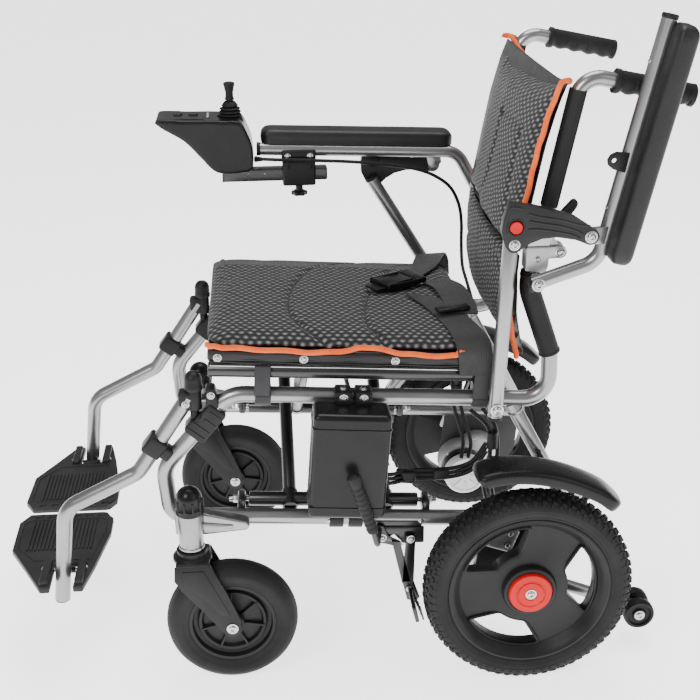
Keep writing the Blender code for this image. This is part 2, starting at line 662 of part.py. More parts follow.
def bracket(name, side, lifted):
    """Moulded link between armrest and post, with the button that frees it."""
    head = POST_HEAD_UP
    outline = ([(-0.0087, 0.0593), (0.026, 0.0533), (0.0621, 0.0435), (0.0812, 0.0372)]
               + arc((0.105, 0.0082), 0.0115, 75, -110, 7)
               + [(0.0838, 0.0045), (0.0578, 0.0090), (0.0376, 0.0075), (0.0217, 0.0015)]
               + arc((0.0, 0.0), 0.0115, -35, -165, 5)
               + [(-0.0159, 0.0105), (-0.0185, 0.020), (-0.0160, 0.0375)])
    body = slab([head + Vector(point) for point in outline], side * BRACKET_IN,
                side * BRACKET_OUT)
    lug = head + Vector((0.105, 0.0082))
    button_at = head + Vector((0.0012, 0.0245))
    cuts = [rod(at(lug, side * 0.23), at(lug, side * 0.26), 0.0046, 12),
            rod(at(button_at, side * (BRACKET_IN + 0.003)), at(button_at, side * 0.26),
                0.0092, 20)]
    solid = combined([body], cuts)
    button = rod(at(button_at, side * (BRACKET_IN + 0.0065)), at(button_at, side * 0.2555),
                 0.0086, 20)
    spot = button_at
    if not lifted:
        solid = swung(solid, head, -BRACKET_SWING, POST_HEAD)
        button = swung(button, head, -BRACKET_SWING, POST_HEAD)
        spot = turn(button_at, head, -BRACKET_SWING) + POST_HEAD - head
    pivot = turn(ARM_LUG, ARM_PIVOT, ARM_SWING) if lifted else ARM_LUG
    placed(name + "_armrest_bracket", solid, PLASTIC, at(pivot, side * BRACKET_IN))
    placed(name + "_release_button", button, RED, at(spot, side * 0.2555))


# ------------------------------------------------------------- upper back

def on_handle(x):
    """The point of the handle tube's centre line at x."""
    return Vector((x, HANDLE_BEND.y + HANDLE_FALL * (x - HANDLE_BEND.x)))


def back_post(name, side):
    """Folding upper post with its hinge leaf, handle tube, grip and lever."""
    y = side * FRAME_Y
    post = tube_xz([(0.0100, 0.684), HANDLE_BEND, on_handle(0.2010)], (0.030,), y, POST_R)
    inner, outer = sorted((side * 0.1815, side * 0.2085))
    leaf = slab([(-0.0115, 0.6730), (0.0205, 0.6730), (0.0250, 0.6860), (0.0250, 0.7000),
                 (-0.0060, 0.7000)], inner, outer)
    knuckle = slab([(0.0200, 0.6800), (0.0215, 0.6732)] + arc(BACK_PIN, 0.0080, 200, 450, 10)
                   + [(0.0240, 0.6860)], side * 0.1874, side * 0.2026)
    hole = rod(at(BACK_PIN, side * 0.18), at(BACK_PIN, side * 0.21), 0.0040, 12)
    placed(name + "_back_post", combined([post, leaf, knuckle], [hole]), SILVER,
           at(BACK_PIN, y))

    start, end = at(on_handle(0.0980), y), at(on_handle(0.2120), y)
    grip = combined([rod(start, end, 0.0165, 18)],
                    [rod(start - (end - start) * 0.1, start + (end - start) * 0.92,
                         POST_R + 2 * GAP, 14)])
    placed(name + "_push_grip", grip, RUBBER, start)

    lever = slab([(0.0275, 0.7045), (0.0330, 0.6985), (0.0400, 0.7020), (0.0570, 0.7265),
                  (0.0575, 0.7345), (0.0510, 0.7350), (0.0380, 0.7200)],
                 y - 0.006, y + 0.006)
    placed(name + "_back_lever", lever, PLASTIC, (0.0335, y, 0.7045))


# ---------------------------------------------------------- parking brake

def parking_brake(name, side):
    """Hand lever and the shoe arm that it presses on the tyre."""
    knee = Vector((-0.194, 0.209))
    plate = slab([BRAKE_LEVER_PIN + Vector(offset) for offset in
                  ((-0.0155, 0.012), (-0.0085, -0.0085), (0.0040, -0.0110), (0.0235, -0.0175),
                   (0.0275, -0.0080), (0.0090, 0.0030), (0.0020, 0.0200), (-0.0080, 0.0220))],
                 side * 0.2114, side * 0.2154)
    arm = tube(bent([(-0.2190, side * 0.2135, 0.2330), (-0.2280, side * 0.2780, 0.2450),
                     (-0.2410, side * 0.2885, 0.2980)], (0.012,), 4), 0.0045, 3)
    grip = rod((-0.2350, side * 0.2875, 0.2740), (-0.2655, side * 0.2890, 0.3700), 0.0085, 14,
               0.0095)
    pin_hole = rod(at(BRAKE_LEVER_PIN, side * 0.20), at(BRAKE_LEVER_PIN, side * 0.24), 0.0035,
                   10)
    lever = combined([plate, arm, grip], [pin_hole])
    placed(name + "_brake_lever", lever, STEEL, at(BRAKE_LEVER_PIN, side * 0.213))

    shoe_pin = BRAKE_SHOE_PIN
    sides = [slab([(-0.1785, 0.2230), (-0.1640, 0.2230), (-0.1660, 0.1380), (-0.1840, 0.1380)],
                  side * 0.2158, side * 0.2198),
             slab([knee + Vector((-0.0065, 0.0060)), knee + Vector((0.0065, 0.0040)),
                   Vector((-0.1700, 0.1380)), Vector((-0.1840, 0.1380))],
                  side * 0.2158, side * 0.2198),
             slab([(-0.1840, 0.1420), (-0.1660, 0.1420), (-0.1560, 0.1120), (-0.1620, 0.1060),
                   (-0.1760, 0.1080)], side * 0.2158, side * 0.2200),
             box((-0.1700, side * 0.2480, 0.1200), (0.0060, 0.0640, 0.0260),
                 math.radians(-14))]
    hole = rod(at(shoe_pin, side * 0.20), at(shoe_pin, side * 0.24), 0.0035, 10)
    placed(name + "_brake_shoe", combined(sides, [hole]), STEEL, at(shoe_pin, side * 0.218))


# ------------------------------------------------------------ soft goods

def seat():
    """Sling and cushion as one thin slab on the seat rails."""
    middle = -0.266
    cushion = box((middle, 0, lift(RAIL_Z, middle) + 0.0295), (0.408, 0.425, 0.033),
                  math.atan(SLOPE), 0.008, 2)
    placed("seat_cushion", cushion, KNIT)


def seat_belt():
    """Lap belt laid across the rear of the seat, with its buckle."""
    x = -0.105
    top = lift(RAIL_Z, x) + 0.0470
    half, web = 0.2135, 0.0022
    outline = [(-half - web, 0.500), (-half, 0.500), (-half, top - 0.002), (-half + 0.004, top),
               (half - 0.004, top), (half, top - 0.002), (half, 0.500), (half + web, 0.500),
               (half + web, top), (half - 0.004, top + web), (-half + 0.004, top + web),
               (-half - web, top)]
    strap = slab(outline, -0.020, 0.020)
    moved(strap, Matrix.Rotation(math.radians(90), 4, "Z"))
    buckle = box((0, 0, top + 0.0072), (0.050, 0.085, 0.0112), 0, 0.003, 2)
    belt = combined([strap, buckle])
    moved(belt, Matrix.Translation((x, 0, top)) @ Matrix.Rotation(math.atan(SLOPE), 4, "Y")
          @ Matrix.Translation((0, 0, -top)))
    placed("seat_belt", belt, VINYL)


BACK_LINE = [(0.505, -0.014), (0.530, -0.020), (0.568, -0.027), (0.633, -0.0285),
             (0.661, -0.0265), (0.6625, -0.0262), (0.671, -0.0245), (0.747, -0.0105),
             (0.813, 0.0020), (0.867, 0.0165), (0.899, 0.0285)]


def back_pads():
    """Padded back sling in two lengths, which part at the hinge."""
    for name, low, high in (("back_pad_lower", 0, 5), ("back_pad_upper", 5, 11)):
        line = BACK_LINE[low:high]
        front = [(x - 0.0135, z) for z, x in line]
        rear = [(x + 0.0075, z) for z, x in reversed(line)]
        pad = slab(front + rear, -0.2075, 0.2075, 0.003)
        placed(name, pad, KNIT, (0.036, 0, 0.664) if low else (0, 0, 0.5))


# ---------------------------------------------------- battery and controls

def battery_box():
    """Battery case clamped to the left frame's two tubes."""
    case = box((-0.2667, -0.2435, 0.3695), (0.112, 0.057, 0.166), math.radians(4.1), 0.006, 2)
    parts = [case]
    for x, z in ((-0.272, 0.4655), (-0.243, 0.4637)):
        parts.append(box((x, -0.2180, z), (0.025, 0.030, 0.0110), math.radians(3.5)))
        parts.append(box((x, -0.2255, z - 0.010), (0.025, 0.015, 0.020), math.radians(3.5)))
    for x, z in ((-0.283, 0.2760), (-0.254, 0.2745)):
        parts.append(box((x, -0.2180, z), (0.025, 0.030, 0.0100), math.radians(3.5)))
        parts.append(box((x, -0.2255, z + 0.010), (0.025, 0.015, 0.020), math.radians(3.5)))
    placed("battery_box", combined(parts), PLASTIC, (-0.2645, -0.2435, 0.37))


STICK_PIVOT = Vector((-0.4250, ARM_Y, 0.7780))


def joystick():
    """Control pod with its mounting bar, boot, stick and two keys."""
    outline = [(-0.5485, 0.7745), (-0.5400, 0.7790), (-0.4980, 0.7770), (-0.4620, 0.7765),
               (-0.4400, 0.7745), (-0.4100, 0.7735), (-0.3960, 0.7500), (-0.3895, 0.7250),
               (-0.3900, 0.6980), (-0.3990, 0.6876), (-0.4500, 0.6876), (-0.4760, 0.7150),
               (-0.5010, 0.7430), (-0.5330, 0.7620)]
    pod = slab(outline, ARM_Y - 0.041, ARM_Y + 0.041, 0.007)
    cuts = [rod(STICK_PIVOT - Vector((0, 0, 0.020)), STICK_PIVOT + Vector((0, 0, 0.03)), 0.0215,
                20)]
    for x in (-0.5120, -0.4860):
        cuts.append(box((x, ARM_Y, 0.7800), (0.0130, 0.0200, 0.0110)))
    placed("joystick_pod", combined([pod], cuts), PLASTIC, (-0.45, ARM_Y, 0.69))

    boot = rod(STICK_PIVOT - Vector((0, 0, 0.0180)), STICK_PIVOT + Vector((0, 0, 0.0200)),
               0.0195, 20, 0.0100)
    hollow = rod(STICK_PIVOT - Vector((0, 0, 0.03)), STICK_PIVOT + Vector((0, 0, 0.03)),
                 0.0062, 14)
    placed("joystick_boot", combined([boot], [hollow]), RUBBER, STICK_PIVOT)
    stem = rod(STICK_PIVOT - Vector((0, 0, 0.0180)), STICK_PIVOT + Vector((0, 0, 0.0300)),
               0.0052, 14)
    knob = rod(STICK_PIVOT + Vector((0, 0, 0.0215)), STICK_PIVOT + Vector((0, 0, 0.0530)),
               0.0068, 16, 0.0095)
    placed("joystick_stick", combined([stem, knob]), PLASTIC, STICK_PIVOT)
    for name, x in (("power_key", -0.5120), ("speed_key", -0.4860)):
        key = box((x, ARM_Y, 0.7790), (0.0122, 0.0192, 0.0064), 0, 0.0008, 1)
        placed(name, key, GREY, (x, ARM_Y, 0.7790))

    bar = box((-0.3535, ARM_Y, 0.6755), (0.177, 0.0220, 0.0220), 0, 0.0012, 1)
    placed("joystick_bar", bar, STEEL, (-0.3535, ARM_Y, 0.6755))


def bar_clamp():
    """Clamp that holds the joystick bar under the armrest tube, with its screw."""
    x = -0.313
    upper = box((x, ARM_Y, 0.7080), (0.058, 0.0310, 0.0190))
    lower = box((x, ARM_Y, 0.6780), (0.056, 0.0308, 0.0440), 0, 0.003, 2)
    tube_bore = tube_xz([(-0.45, 0.7210), (-0.15, 0.7092)], (), ARM_Y, ARM_R + GAP)
    bar_bore = box((x, ARM_Y, 0.6755), (0.09, 0.0228, 0.0228))
    screw_bore = rod((x, ARM_Y, 0.645), (x, ARM_Y, 0.6660), 0.0040, 12)
    placed("bar_clamp", combined([upper, lower], [tube_bore, bar_bore, screw_bore]), PLASTIC,
           (x, ARM_Y, 0.70))
    parts = [rod((x, ARM_Y, 0.6375), (x, ARM_Y, 0.6440), 0.0135, 20),
             rod((x, ARM_Y, 0.6430), (x, ARM_Y, 0.6545), 0.0062, 14),
             rod((x, ARM_Y, 0.6530), (x, ARM_Y, 0.6636), 0.0034, 12)]
    placed("clamp_knob", combined(parts), PLASTIC, (x, ARM_Y, 0.65))


CABLE_ROUTE = [(-0.3868, 0.2150, 0.7040), (-0.3740, 0.2105, 0.7045), (-0.3520, 0.2065, 0.7040),
               (-0.3130, 0.2055, 0.7025), (-0.2700, 0.2065, 0.7000), (-0.2200, 0.2090, 0.6960),
               (-0.1700, 0.2110, 0.6900), (-0.1200, 0.2118, 0.6815), (-0.0850, 0.2118, 0.6690),
               (-0.0560, 0.2118, 0.6480), (-0.0400, 0.2118, 0.6180), (-0.0340, 0.2118, 0.5850),
               (-0.0330, 0.2118, 0.5450), (-0.0300, 0.2118, 0.5050), (-0.0200, 0.2118, 0.4700),
               (-0.0100, 0.2118, 0.4350), (-0.0080, 0.2118, 0.4050)]


def smooth_path(points, per_span):
    """Points of a Catmull-Rom curve through the given points."""
    points = [Vector(point) for point in points]
    ends = [2 * points[0] - points[1]] + points + [2 * points[-1] - points[-2]]
    path = []
    for a, b, c, d in zip(ends, ends[1:], ends[2:], ends[3:]):
        for step in range(per_span):
            t = step / per_span
            path.append(0.5 * (2 * b + (c - a) * t + (2 * a - 5 * b + 4 * c - d) * t * t
                               + (3 * b - a - 3 * c + d) * t ** 3))
    return path + [points[-1]]


def controller_cable():
    """Lead from the pod, held under the armrest and down the back post."""
    placed("controller_cable", tube(smooth_path(CABLE_ROUTE, 2), 0.0030, 1), RUBBER,
           CABLE_ROUTE[0])


# ------------------------------------------------------------------ build

for label, sign in SIDES.items():
    side_frame(label, sign)
    drive_tyre(label, sign)
    drive_rim(label, sign)
    caster_wheel(label, sign)
    caster_fork(label, sign)
    tip_rollers(label, sign)
    drive_motor(label, sign)
    fender(label, sign)
    hanger_bracket(label, sign)
    hanger(label, sign)
    footplate(label, sign)
    armrest(label, sign, lifted=(label == "left"))
    back_post(label, sign)
    parking_brake(label, sign)
brace_leg("cross_leg_a", -1, (-0.352, -0.206), own_pins=True)
brace_leg("cross_leg_b", 1, (-0.3295, -0.1835), own_pins=False)
seat()
seat_belt()
back_pads()
battery_box()
joystick()
bar_clamp()
controller_cable()
bpy.context.view_layer.update()
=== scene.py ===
"""Looks of the folding power wheelchair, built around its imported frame.

Metres, +Z up.  The user faces -X and the user's left is -Y.  Shapes are drawn
with x measured from the drive axle; add() carries each finished piece to the
frame and makes it ride on its body.
"""
import math
import random

import bmesh
import bpy
from mathutils import Matrix, Vector, noise


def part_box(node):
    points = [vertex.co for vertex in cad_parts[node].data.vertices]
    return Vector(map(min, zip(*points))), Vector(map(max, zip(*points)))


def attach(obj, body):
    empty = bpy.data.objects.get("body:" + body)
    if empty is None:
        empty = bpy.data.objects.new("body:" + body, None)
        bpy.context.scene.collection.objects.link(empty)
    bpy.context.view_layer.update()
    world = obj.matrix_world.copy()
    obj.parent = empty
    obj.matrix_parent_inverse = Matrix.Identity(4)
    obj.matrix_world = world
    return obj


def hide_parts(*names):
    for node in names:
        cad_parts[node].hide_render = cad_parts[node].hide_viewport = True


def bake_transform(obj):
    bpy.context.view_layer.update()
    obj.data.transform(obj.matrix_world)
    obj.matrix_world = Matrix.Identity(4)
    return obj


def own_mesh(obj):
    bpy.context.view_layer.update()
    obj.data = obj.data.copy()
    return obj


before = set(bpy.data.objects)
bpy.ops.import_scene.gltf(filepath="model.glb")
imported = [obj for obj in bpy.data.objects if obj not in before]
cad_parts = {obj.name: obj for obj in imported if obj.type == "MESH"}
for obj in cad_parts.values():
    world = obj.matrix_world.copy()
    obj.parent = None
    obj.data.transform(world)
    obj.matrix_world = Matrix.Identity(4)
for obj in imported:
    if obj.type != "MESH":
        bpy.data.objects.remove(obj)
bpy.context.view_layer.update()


def middle(node):
    """Centre of a CAD node's box."""
    low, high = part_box(node)
    return (Vector(low) + Vector(high)) / 2


AXLE = middle("left_drive_tyre")
AXLE_X = AXLE.x
SIDES = {"left": -1.0, "right": 1.0}

# Places shared with the frame, x from the drive axle
FRAME_Y = 0.195
ARM_Y = 0.2275
HEAD_Y = 0.230
WHEEL_Y = 0.268
SLOPE = math.tan(math.radians(3.5))
TILT = math.radians(3.5)
FRAME_R = 0.0127
LOWER_Z = 0.231
UPPER_Z = 0.434
RAIL_Z = 0.4745
PIVOT_Z = 0.2445
RAIL_Y = 0.200
PIVOT_Y = 0.165
RAIL_R = 0.0115
PIVOT_R = 0.011
LEG_R = 0.010
DRIVE_R = 0.159
CASTER_R = 0.100
HEAD_X = -0.501
CASTER_X = -0.446
MOTOR = (-0.030, 0.138)
ROLLER = (0.197, 0.055)
ARM_PIVOT = Vector((0.0, 0.627))
POST_FOOT = Vector((-0.051, 0.437))
ARM_LUG = Vector((-0.0818, 0.6791))
POST_HEAD = Vector((-0.1838, 0.6532))
POST_HEAD_UP = Vector((-0.0394, 0.6906))
ARM_SWING = math.radians(100.0)
BRACKET_SWING = math.radians(9.8)
POST_SWING = math.radians(34.19)
ARM_R = 0.011
BRACKET_IN = 0.2393
BRACKET_OUT = 0.2525
BACK_PIN = Vector((0.036, 0.664))
SWING_X = -0.4865
HANDLE_BEND = Vector((0.0540, 0.9075))
HANDLE_FALL = -0.204
BACK_LINE = [(0.505, -0.014), (0.530, -0.020), (0.568, -0.027), (0.633, -0.0285),
             (0.6615, -0.0264), (0.671, -0.0245), (0.747, -0.0105), (0.813, 0.0020),
             (0.867, 0.0165), (0.899, 0.0285)]
BACK_EDGE = 0.898


def lift(base, x):
    """Height at x of a line that falls to the back like the seat."""
    return base - SLOPE * x


def at(point, y):
    """Set an (x, z) point at a y."""
    return Vector((point[0], y, point[1]))


def turn(point, centre, angle):
    """Turn an (x, z) point about centre; positive goes from +Z to +X."""
    offset = point - centre
    cosine, sine = math.cos(angle), math.sin(angle)
    return centre + Vector((offset.x * cosine + offset.y * sine,
                            -offset.x * sine + offset.y * cosine))


# ------------------------------------------------------------ camera, light

def camera():
    """The camera at the viewing angle: yaw, pitch and roll in radians."""
    yaw, pitch, roll = 0.0739, 0.3964, -0.0088
    ahead = Vector((math.sin(yaw) * math.cos(pitch), math.cos(yaw) * math.cos(pitch),
                    -math.sin(pitch)))
    right = Vector((math.cos(yaw), -math.sin(yaw), 0))
    up = right.cross(ahead)
    right, up = (math.cos(roll) * right + math.sin(roll) * up,
                 -math.sin(roll) * right + math.cos(roll) * up)
    data = bpy.data.cameras.new("view")
    data.lens = 63.04
    data.sensor_width = 36.0
    made = bpy.data.objects.new("view", data)
    turned = Matrix((right, up, -ahead)).transposed().to_4x4()
    made.matrix_world = Matrix.Translation((AXLE_X - 0.3797, -1.8155, 1.2020)) @ turned
    bpy.context.scene.collection.objects.link(made)
    bpy.context.scene.camera = made


def light(name, place, aim, size, power):
    """A soft square light."""
    data = bpy.data.lights.new(name, "AREA")
    data.shape = "SQUARE"
    data.size = size
    data.energy = power
    made = bpy.data.objects.new(name, data)
    made.location = place
    made.rotation_euler = (Vector(aim) - Vector(place)).to_track_quat("-Z", "Y").to_euler()
    bpy.context.scene.collection.objects.link(made)


def studio():
    """Pale floor and soft light."""
    bpy.ops.mesh.primitive_plane_add(size=30)
    floor = bpy.context.object
    floor.name = "floor"
    floor.location = (0, 0, -0.0005)
    paper = bpy.data.materials.new("paper")
    paper.use_nodes = True
    shader = paper.node_tree.nodes["Principled BSDF"]
    shader.inputs["Base Color"].default_value = (0.95, 0.95, 0.95, 1)
    shader.inputs["Roughness"].default_value = 0.6
    shader.inputs["Specular IOR Level"].default_value = 0.2
    shader.inputs["Emission Color"].default_value = (1, 1, 1, 1)
    shader.inputs["Emission Strength"].default_value = 2.3
    floor.data.materials.append(paper)
    world = bpy.data.worlds.new("air")
    world.use_nodes = True
    world.node_tree.nodes["Background"].inputs["Color"].default_value = (1, 1, 1, 1)
    world.node_tree.nodes["Background"].inputs["Strength"].default_value = 0.4
    bpy.context.scene.world = world
    light("key", (-1.6, -2.2, 2.6), (0, 0, 0.4), 1.2, 62)
    light("fill", (2.0, -1.6, 1.8), (0, 0, 0.5), 1.8, 16)
    light("top", (0.2, 0.6, 3.2), (0, 0, 0.4), 1.8, 62)


camera()
studio()


# ---------------------------------------------------------------- materials

class Finish:
    """Builds one node material; coordinates are each piece's own."""

    def __init__(self, name, colour, roughness, metallic=0.0):
        self.made = bpy.data.materials.new(name)
        self.made.use_nodes = True
        self.tree = self.made.node_tree
        self.shader = self.tree.nodes["Principled BSDF"]
        self.set("Base Color", (*colour, 1))
        self.set("Roughness", roughness)
        self.set("Metallic", metallic)
        self.place = self.tree.nodes.new("ShaderNodeTexCoord").outputs["Object"]

    def set(self, socket, value):
        self.shader.inputs[socket].default_value = value
        return self

    def node(self, kind, links=(), **values):
        made = self.tree.nodes.new(kind)
        for key, value in values.items():
            if hasattr(made, key):
                setattr(made, key, value)
            else:
                made.inputs[key.replace("_", " ")].default_value = value
        for socket, source in links:
            self.tree.links.new(source, made.inputs[socket])
        return made

    def noise(self, scale, detail=2.0, stretch=(1, 1, 1), rough=0.5):
        mapped = self.node("ShaderNodeMapping", [("Vector", self.place)])
        mapped.inputs["Scale"].default_value = stretch
        made = self.node("ShaderNodeTexNoise", [("Vector", mapped.outputs[0])])
        made.inputs["Scale"].default_value = scale
        made.inputs["Detail"].default_value = detail
        made.inputs["Roughness"].default_value = rough
        return made.outputs["Fac"]

    def cells(self, scale, stretch=(1, 1, 1)):
        mapped = self.node("ShaderNodeMapping", [("Vector", self.place)])
        mapped.inputs["Scale"].default_value = stretch
        made = self.node("ShaderNodeTexVoronoi", [("Vector", mapped.outputs[0])])
        made.inputs["Scale"].default_value = scale
        return made.outputs["Distance"]

    def ramp(self, source, stops):
        made = self.node("ShaderNodeValToRGB", [("Fac", source)])
        points = made.color_ramp.elements
        while len(points) < len(stops):
            points.new(0.5)
        for point, (where, colour) in zip(points, stops):
            point.position = where
            point.color = (*colour, 1)
        return made.outputs["Color"]

    def span(self, source, low, high):
        made = self.node("ShaderNodeMapRange", [("Value", source)])
        made.inputs["To Min"].default_value = low
        made.inputs["To Max"].default_value = high
        return made.outputs["Result"]

    def maths(self, operation, first, second):
        made = self.node("ShaderNodeMath")
        made.operation = operation
        for slot, value in enumerate((first, second)):
            if isinstance(value, (int, float)):
                made.inputs[slot].default_value = value
            else:
                self.tree.links.new(value, made.inputs[slot])
        return made.outputs[0]

    def split(self):
        made = self.node("ShaderNodeSeparateXYZ", [("Vector", self.place)])
        return made.outputs

    def drive(self, socket, source):
        self.tree.links.new(source, self.shader.inputs[socket])
        return self

    def bump(self, source, strength, distance):
        made = self.node("ShaderNodeBump", [("Height", source)])
        made.inputs["Strength"].default_value = strength
        made.inputs["Distance"].default_value = distance
        self.drive("Normal", made.outputs["Normal"])
        return self


def worn(finish, dark, pale, scale, low, high):
    """Slight variation of colour and roughness over a surface."""
    patch = finish.noise(scale, 4.0)
    finish.drive("Base Color", finish.ramp(patch, [(0.3, dark), (0.7, pale)]))
    finish.drive("Roughness", finish.span(finish.noise(scale * 3, 3.0), low, high))
    return finish


def painted(name, dark, pale, metallic, low, high):
    """Metallic paint with fine flake."""
    finish = worn(Finish(name, pale, 0.3, metallic), dark, pale, 9, low, high)
    finish.set("Coat Weight", 0.25).set("Coat Roughness", 0.12)
    return finish.bump(finish.noise(2600, 1.0), 0.06, 0.0002).made


def moulded(name, dark, pale, low, high, grain=1700, depth=0.25):
    """Moulded plastic or rubber with a fine grain."""
    finish = worn(Finish(name, pale, 0.5), dark, pale, 14, low, high)
    finish.set("Specular IOR Level", 0.22)
    return finish.bump(finish.noise(grain, 2.0), depth, 0.0003).made


SILVER = painted("silver_paint", (0.25, 0.25, 0.255), (0.33, 0.33, 0.335), 0.90, 0.24, 0.36)
CAST = painted("cast_metal", (0.50, 0.50, 0.50), (0.58, 0.58, 0.58), 0.55, 0.38, 0.50)
ZINC = painted("zinc", (0.42, 0.42, 0.42), (0.56, 0.56, 0.55), 1.0, 0.2, 0.32)
BLACK_METAL = painted("black_coat", (0.006, 0.006, 0.006), (0.012, 0.012, 0.012), 0.0, 0.25, 0.38)
PLASTIC = moulded("black_plastic", (0.007, 0.007, 0.0075), (0.014, 0.014, 0.0145), 0.36, 0.5)
GLOSS = moulded("satin_black", (0.005, 0.005, 0.005), (0.009, 0.009, 0.009), 0.22, 0.34,
                2200, 0.1)
GREY_PLASTIC = moulded("grey_plastic", (0.024, 0.024, 0.025), (0.038, 0.038, 0.040), 0.4, 0.55)
RUBBER = moulded("tyre_rubber", (0.008, 0.008, 0.008), (0.016, 0.016, 0.016), 0.55, 0.8,
                 900, 0.4)
SOFT_RUBBER = moulded("soft_rubber", (0.006, 0.006, 0.006), (0.012, 0.012, 0.012), 0.5, 0.62,
                      1300, 0.2)
RED = moulded("red_plastic", (0.50, 0.004, 0.004), (0.62, 0.007, 0.006), 0.25, 0.36, 2000, 0.05)
CABLE_SKIN = moulded("cable_skin", (0.006, 0.006, 0.006), (0.011, 0.011, 0.011), 0.4, 0.5,
                     1500, 0.1)
LABEL = moulded("pale_plastic", (0.42, 0.42, 0.44), (0.52, 0.52, 0.54), 0.35, 0.45)


def vinyl():
    """Pebbled skin of the arm pads and the sling."""
    finish = worn(Finish("pad_vinyl", (0.02, 0.02, 0.02), 0.5), (0.005, 0.005, 0.005),
                  (0.011, 0.011, 0.011), 20, 0.38, 0.52)
    finish.set("Specular IOR Level", 0.35)
    return finish.bump(finish.cells(520), 0.35, 0.0005).made


def webbing():
    """Ribbed webbing."""
    finish = worn(Finish("belt_webbing", (0.02, 0.02, 0.02), 0.7), (0.003, 0.003, 0.003),
                  (0.009, 0.009, 0.009), 30, 0.5, 0.7)
    parts = finish.split()
    ribs = finish.maths("SINE", finish.maths("MULTIPLY", parts[1], 4200.0), 0.0)
    cross = finish.maths("SINE", finish.maths("MULTIPLY", parts[0], 2600.0), 0.0)
    finish.set("Sheen Weight", 0.08)
    return finish.bump(finish.maths("MULTIPLY", ribs, cross), 0.5, 0.0005).made


def piping():
    """Orange woven piping."""
    finish = worn(Finish("orange_piping", (0.9, 0.25, 0.03), 0.7), (0.85, 0.085, 0.0),
                  (1.0, 0.155, 0.0), 60, 0.6, 0.8)
    finish.set("Sheen Weight", 0.1)
    parts = finish.split()
    total = finish.maths("ADD", finish.maths("ADD", parts[0], parts[1]), parts[2])
    twist = finish.maths("SINE", finish.maths("MULTIPLY", total, 3400.0), 0.0)
    return finish.bump(twist, 0.6, 0.0006).made


def knit(name, along, across, cell, row, lean=0.0):
    """Spacer mesh: rows of pale dashes, offset row by row like brickwork.

    along and across say which of the piece's own axes the rows follow; cell and
    row are the dash length and the row spacing.
    """
    finish = Finish(name, (0.05, 0.05, 0.05), 0.85)
    parts = finish.split()
    wobble = finish.maths("MULTIPLY", finish.maths("SUBTRACT", finish.noise(55, 2.0), 0.5), 0.006)
    first = finish.maths("ADD", parts[along], wobble)
    second = finish.maths("ADD", parts[across], wobble)
    if lean:
        second = finish.maths("ADD", second, finish.maths("MULTIPLY", parts[along], lean))
    rows = finish.maths("DIVIDE", second, row)
    odd = finish.maths("MULTIPLY", finish.maths("MODULO", finish.maths("FLOOR", rows, 0.0), 2.0),
                       math.pi)
    turns = finish.maths("MULTIPLY", first, 2 * math.pi / cell)
    dash = finish.maths("SINE", finish.maths("ADD", turns, odd), 0.0)
    band = finish.maths("SINE", finish.maths("MULTIPLY", finish.maths("FRACT", rows, 0.0),
                                             math.pi), 0.0)
    height = finish.maths("MULTIPLY", band, finish.maths("ADD", finish.maths(
        "MULTIPLY", dash, 0.34), 0.66))
    thread = finish.maths("MULTIPLY", height, finish.span(finish.noise(1500, 1.0), 0.75, 1.1))
    colour = finish.ramp(thread, [(0.26, (0.004, 0.004, 0.004)), (0.58, (0.052, 0.052, 0.053)),
                                  (0.90, (0.20, 0.20, 0.205))])
    finish.drive("Base Color", colour)
    finish.set("Sheen Weight", 0.06)
    return finish.bump(height, 0.9, 0.0012).made


VINYL = vinyl()
WEB = webbing()
ORANGE = piping()
SEAT_KNIT = knit("seat_knit", 0, 1, 0.0125, 0.0076)
BACK_KNIT = knit("back_knit", 1, 2, 0.0120, 0.0070, 0.35)


# ------------------------------------------------------------ mesh building

def holder(mesh, name="shape"):
    """A loose object that holds a mesh."""
    item = bpy.data.objects.new(name, mesh)
    bpy.context.scene.collection.objects.link(item)
    return item


def baked(item):
    """Replace an object by its evaluated mesh, welded, in place."""
    bpy.context.view_layer.update()
    graph = bpy.context.evaluated_depsgraph_get()
    mesh = bpy.data.meshes.new_from_object(item.evaluated_get(graph))
    mesh.transform(item.matrix_world)
    bpy.data.objects.remove(item, do_unlink=True)
    work = bmesh.new()
    work.from_mesh(mesh)
    bmesh.ops.remove_doubles(work, verts=work.verts, dist=0.000004)
    bmesh.ops.recalc_face_normals(work, faces=work.faces)
    work.to_mesh(mesh)
    work.free()
    return holder(mesh)


def shaped(work, name):
    """Turn a finished bmesh into a loose shape."""
    mesh = bpy.data.meshes.new(name)
    work.to_mesh(mesh)
    work.free()
    return holder(mesh)


def joined(items):
    """Several shapes in one mesh."""
    work = bmesh.new()
    for item in items:
        work.from_mesh(item.data)
        bpy.data.objects.remove(item, do_unlink=True)
    return shaped(work, "joined")


def mirrored(half):
    """A profile and its reflection, from the first point round to the last."""
    return half + [(r, -t) for r, t in reversed(half)]


def dressed(name, item, finish, sharp):
    """Name a shape, give it its material and shading, and put it in the frame."""
    item = joined(item) if isinstance(item, (list, tuple)) else item
    mesh = item.data
    mesh.transform(Matrix.Translation((AXLE_X, 0, 0)))
    mesh.materials.clear()
    mesh.materials.append(finish)
    mesh.shade_smooth()
    mesh.set_sharp_from_angle(angle=math.radians(sharp))
    item.name = mesh.name = name
    return item


def declared(item, nodes):
    """Hide the CAD nodes that a piece stands for."""
    if nodes:
        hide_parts(*nodes)
    return item


def add(name, items, finish, body, nodes=(), sharp=38.0):
    """Finish a piece and put it on its body; with a tuple for a body it stays loose where it is.
    """
    item = dressed(name, items, finish, sharp)
    if isinstance(body, tuple):
        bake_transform(item)
    else:
        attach(item, body)
    return declared(item, nodes)


def moved(item, matrix):
    """Move a loose shape."""
    item.data.transform(matrix)
    return item


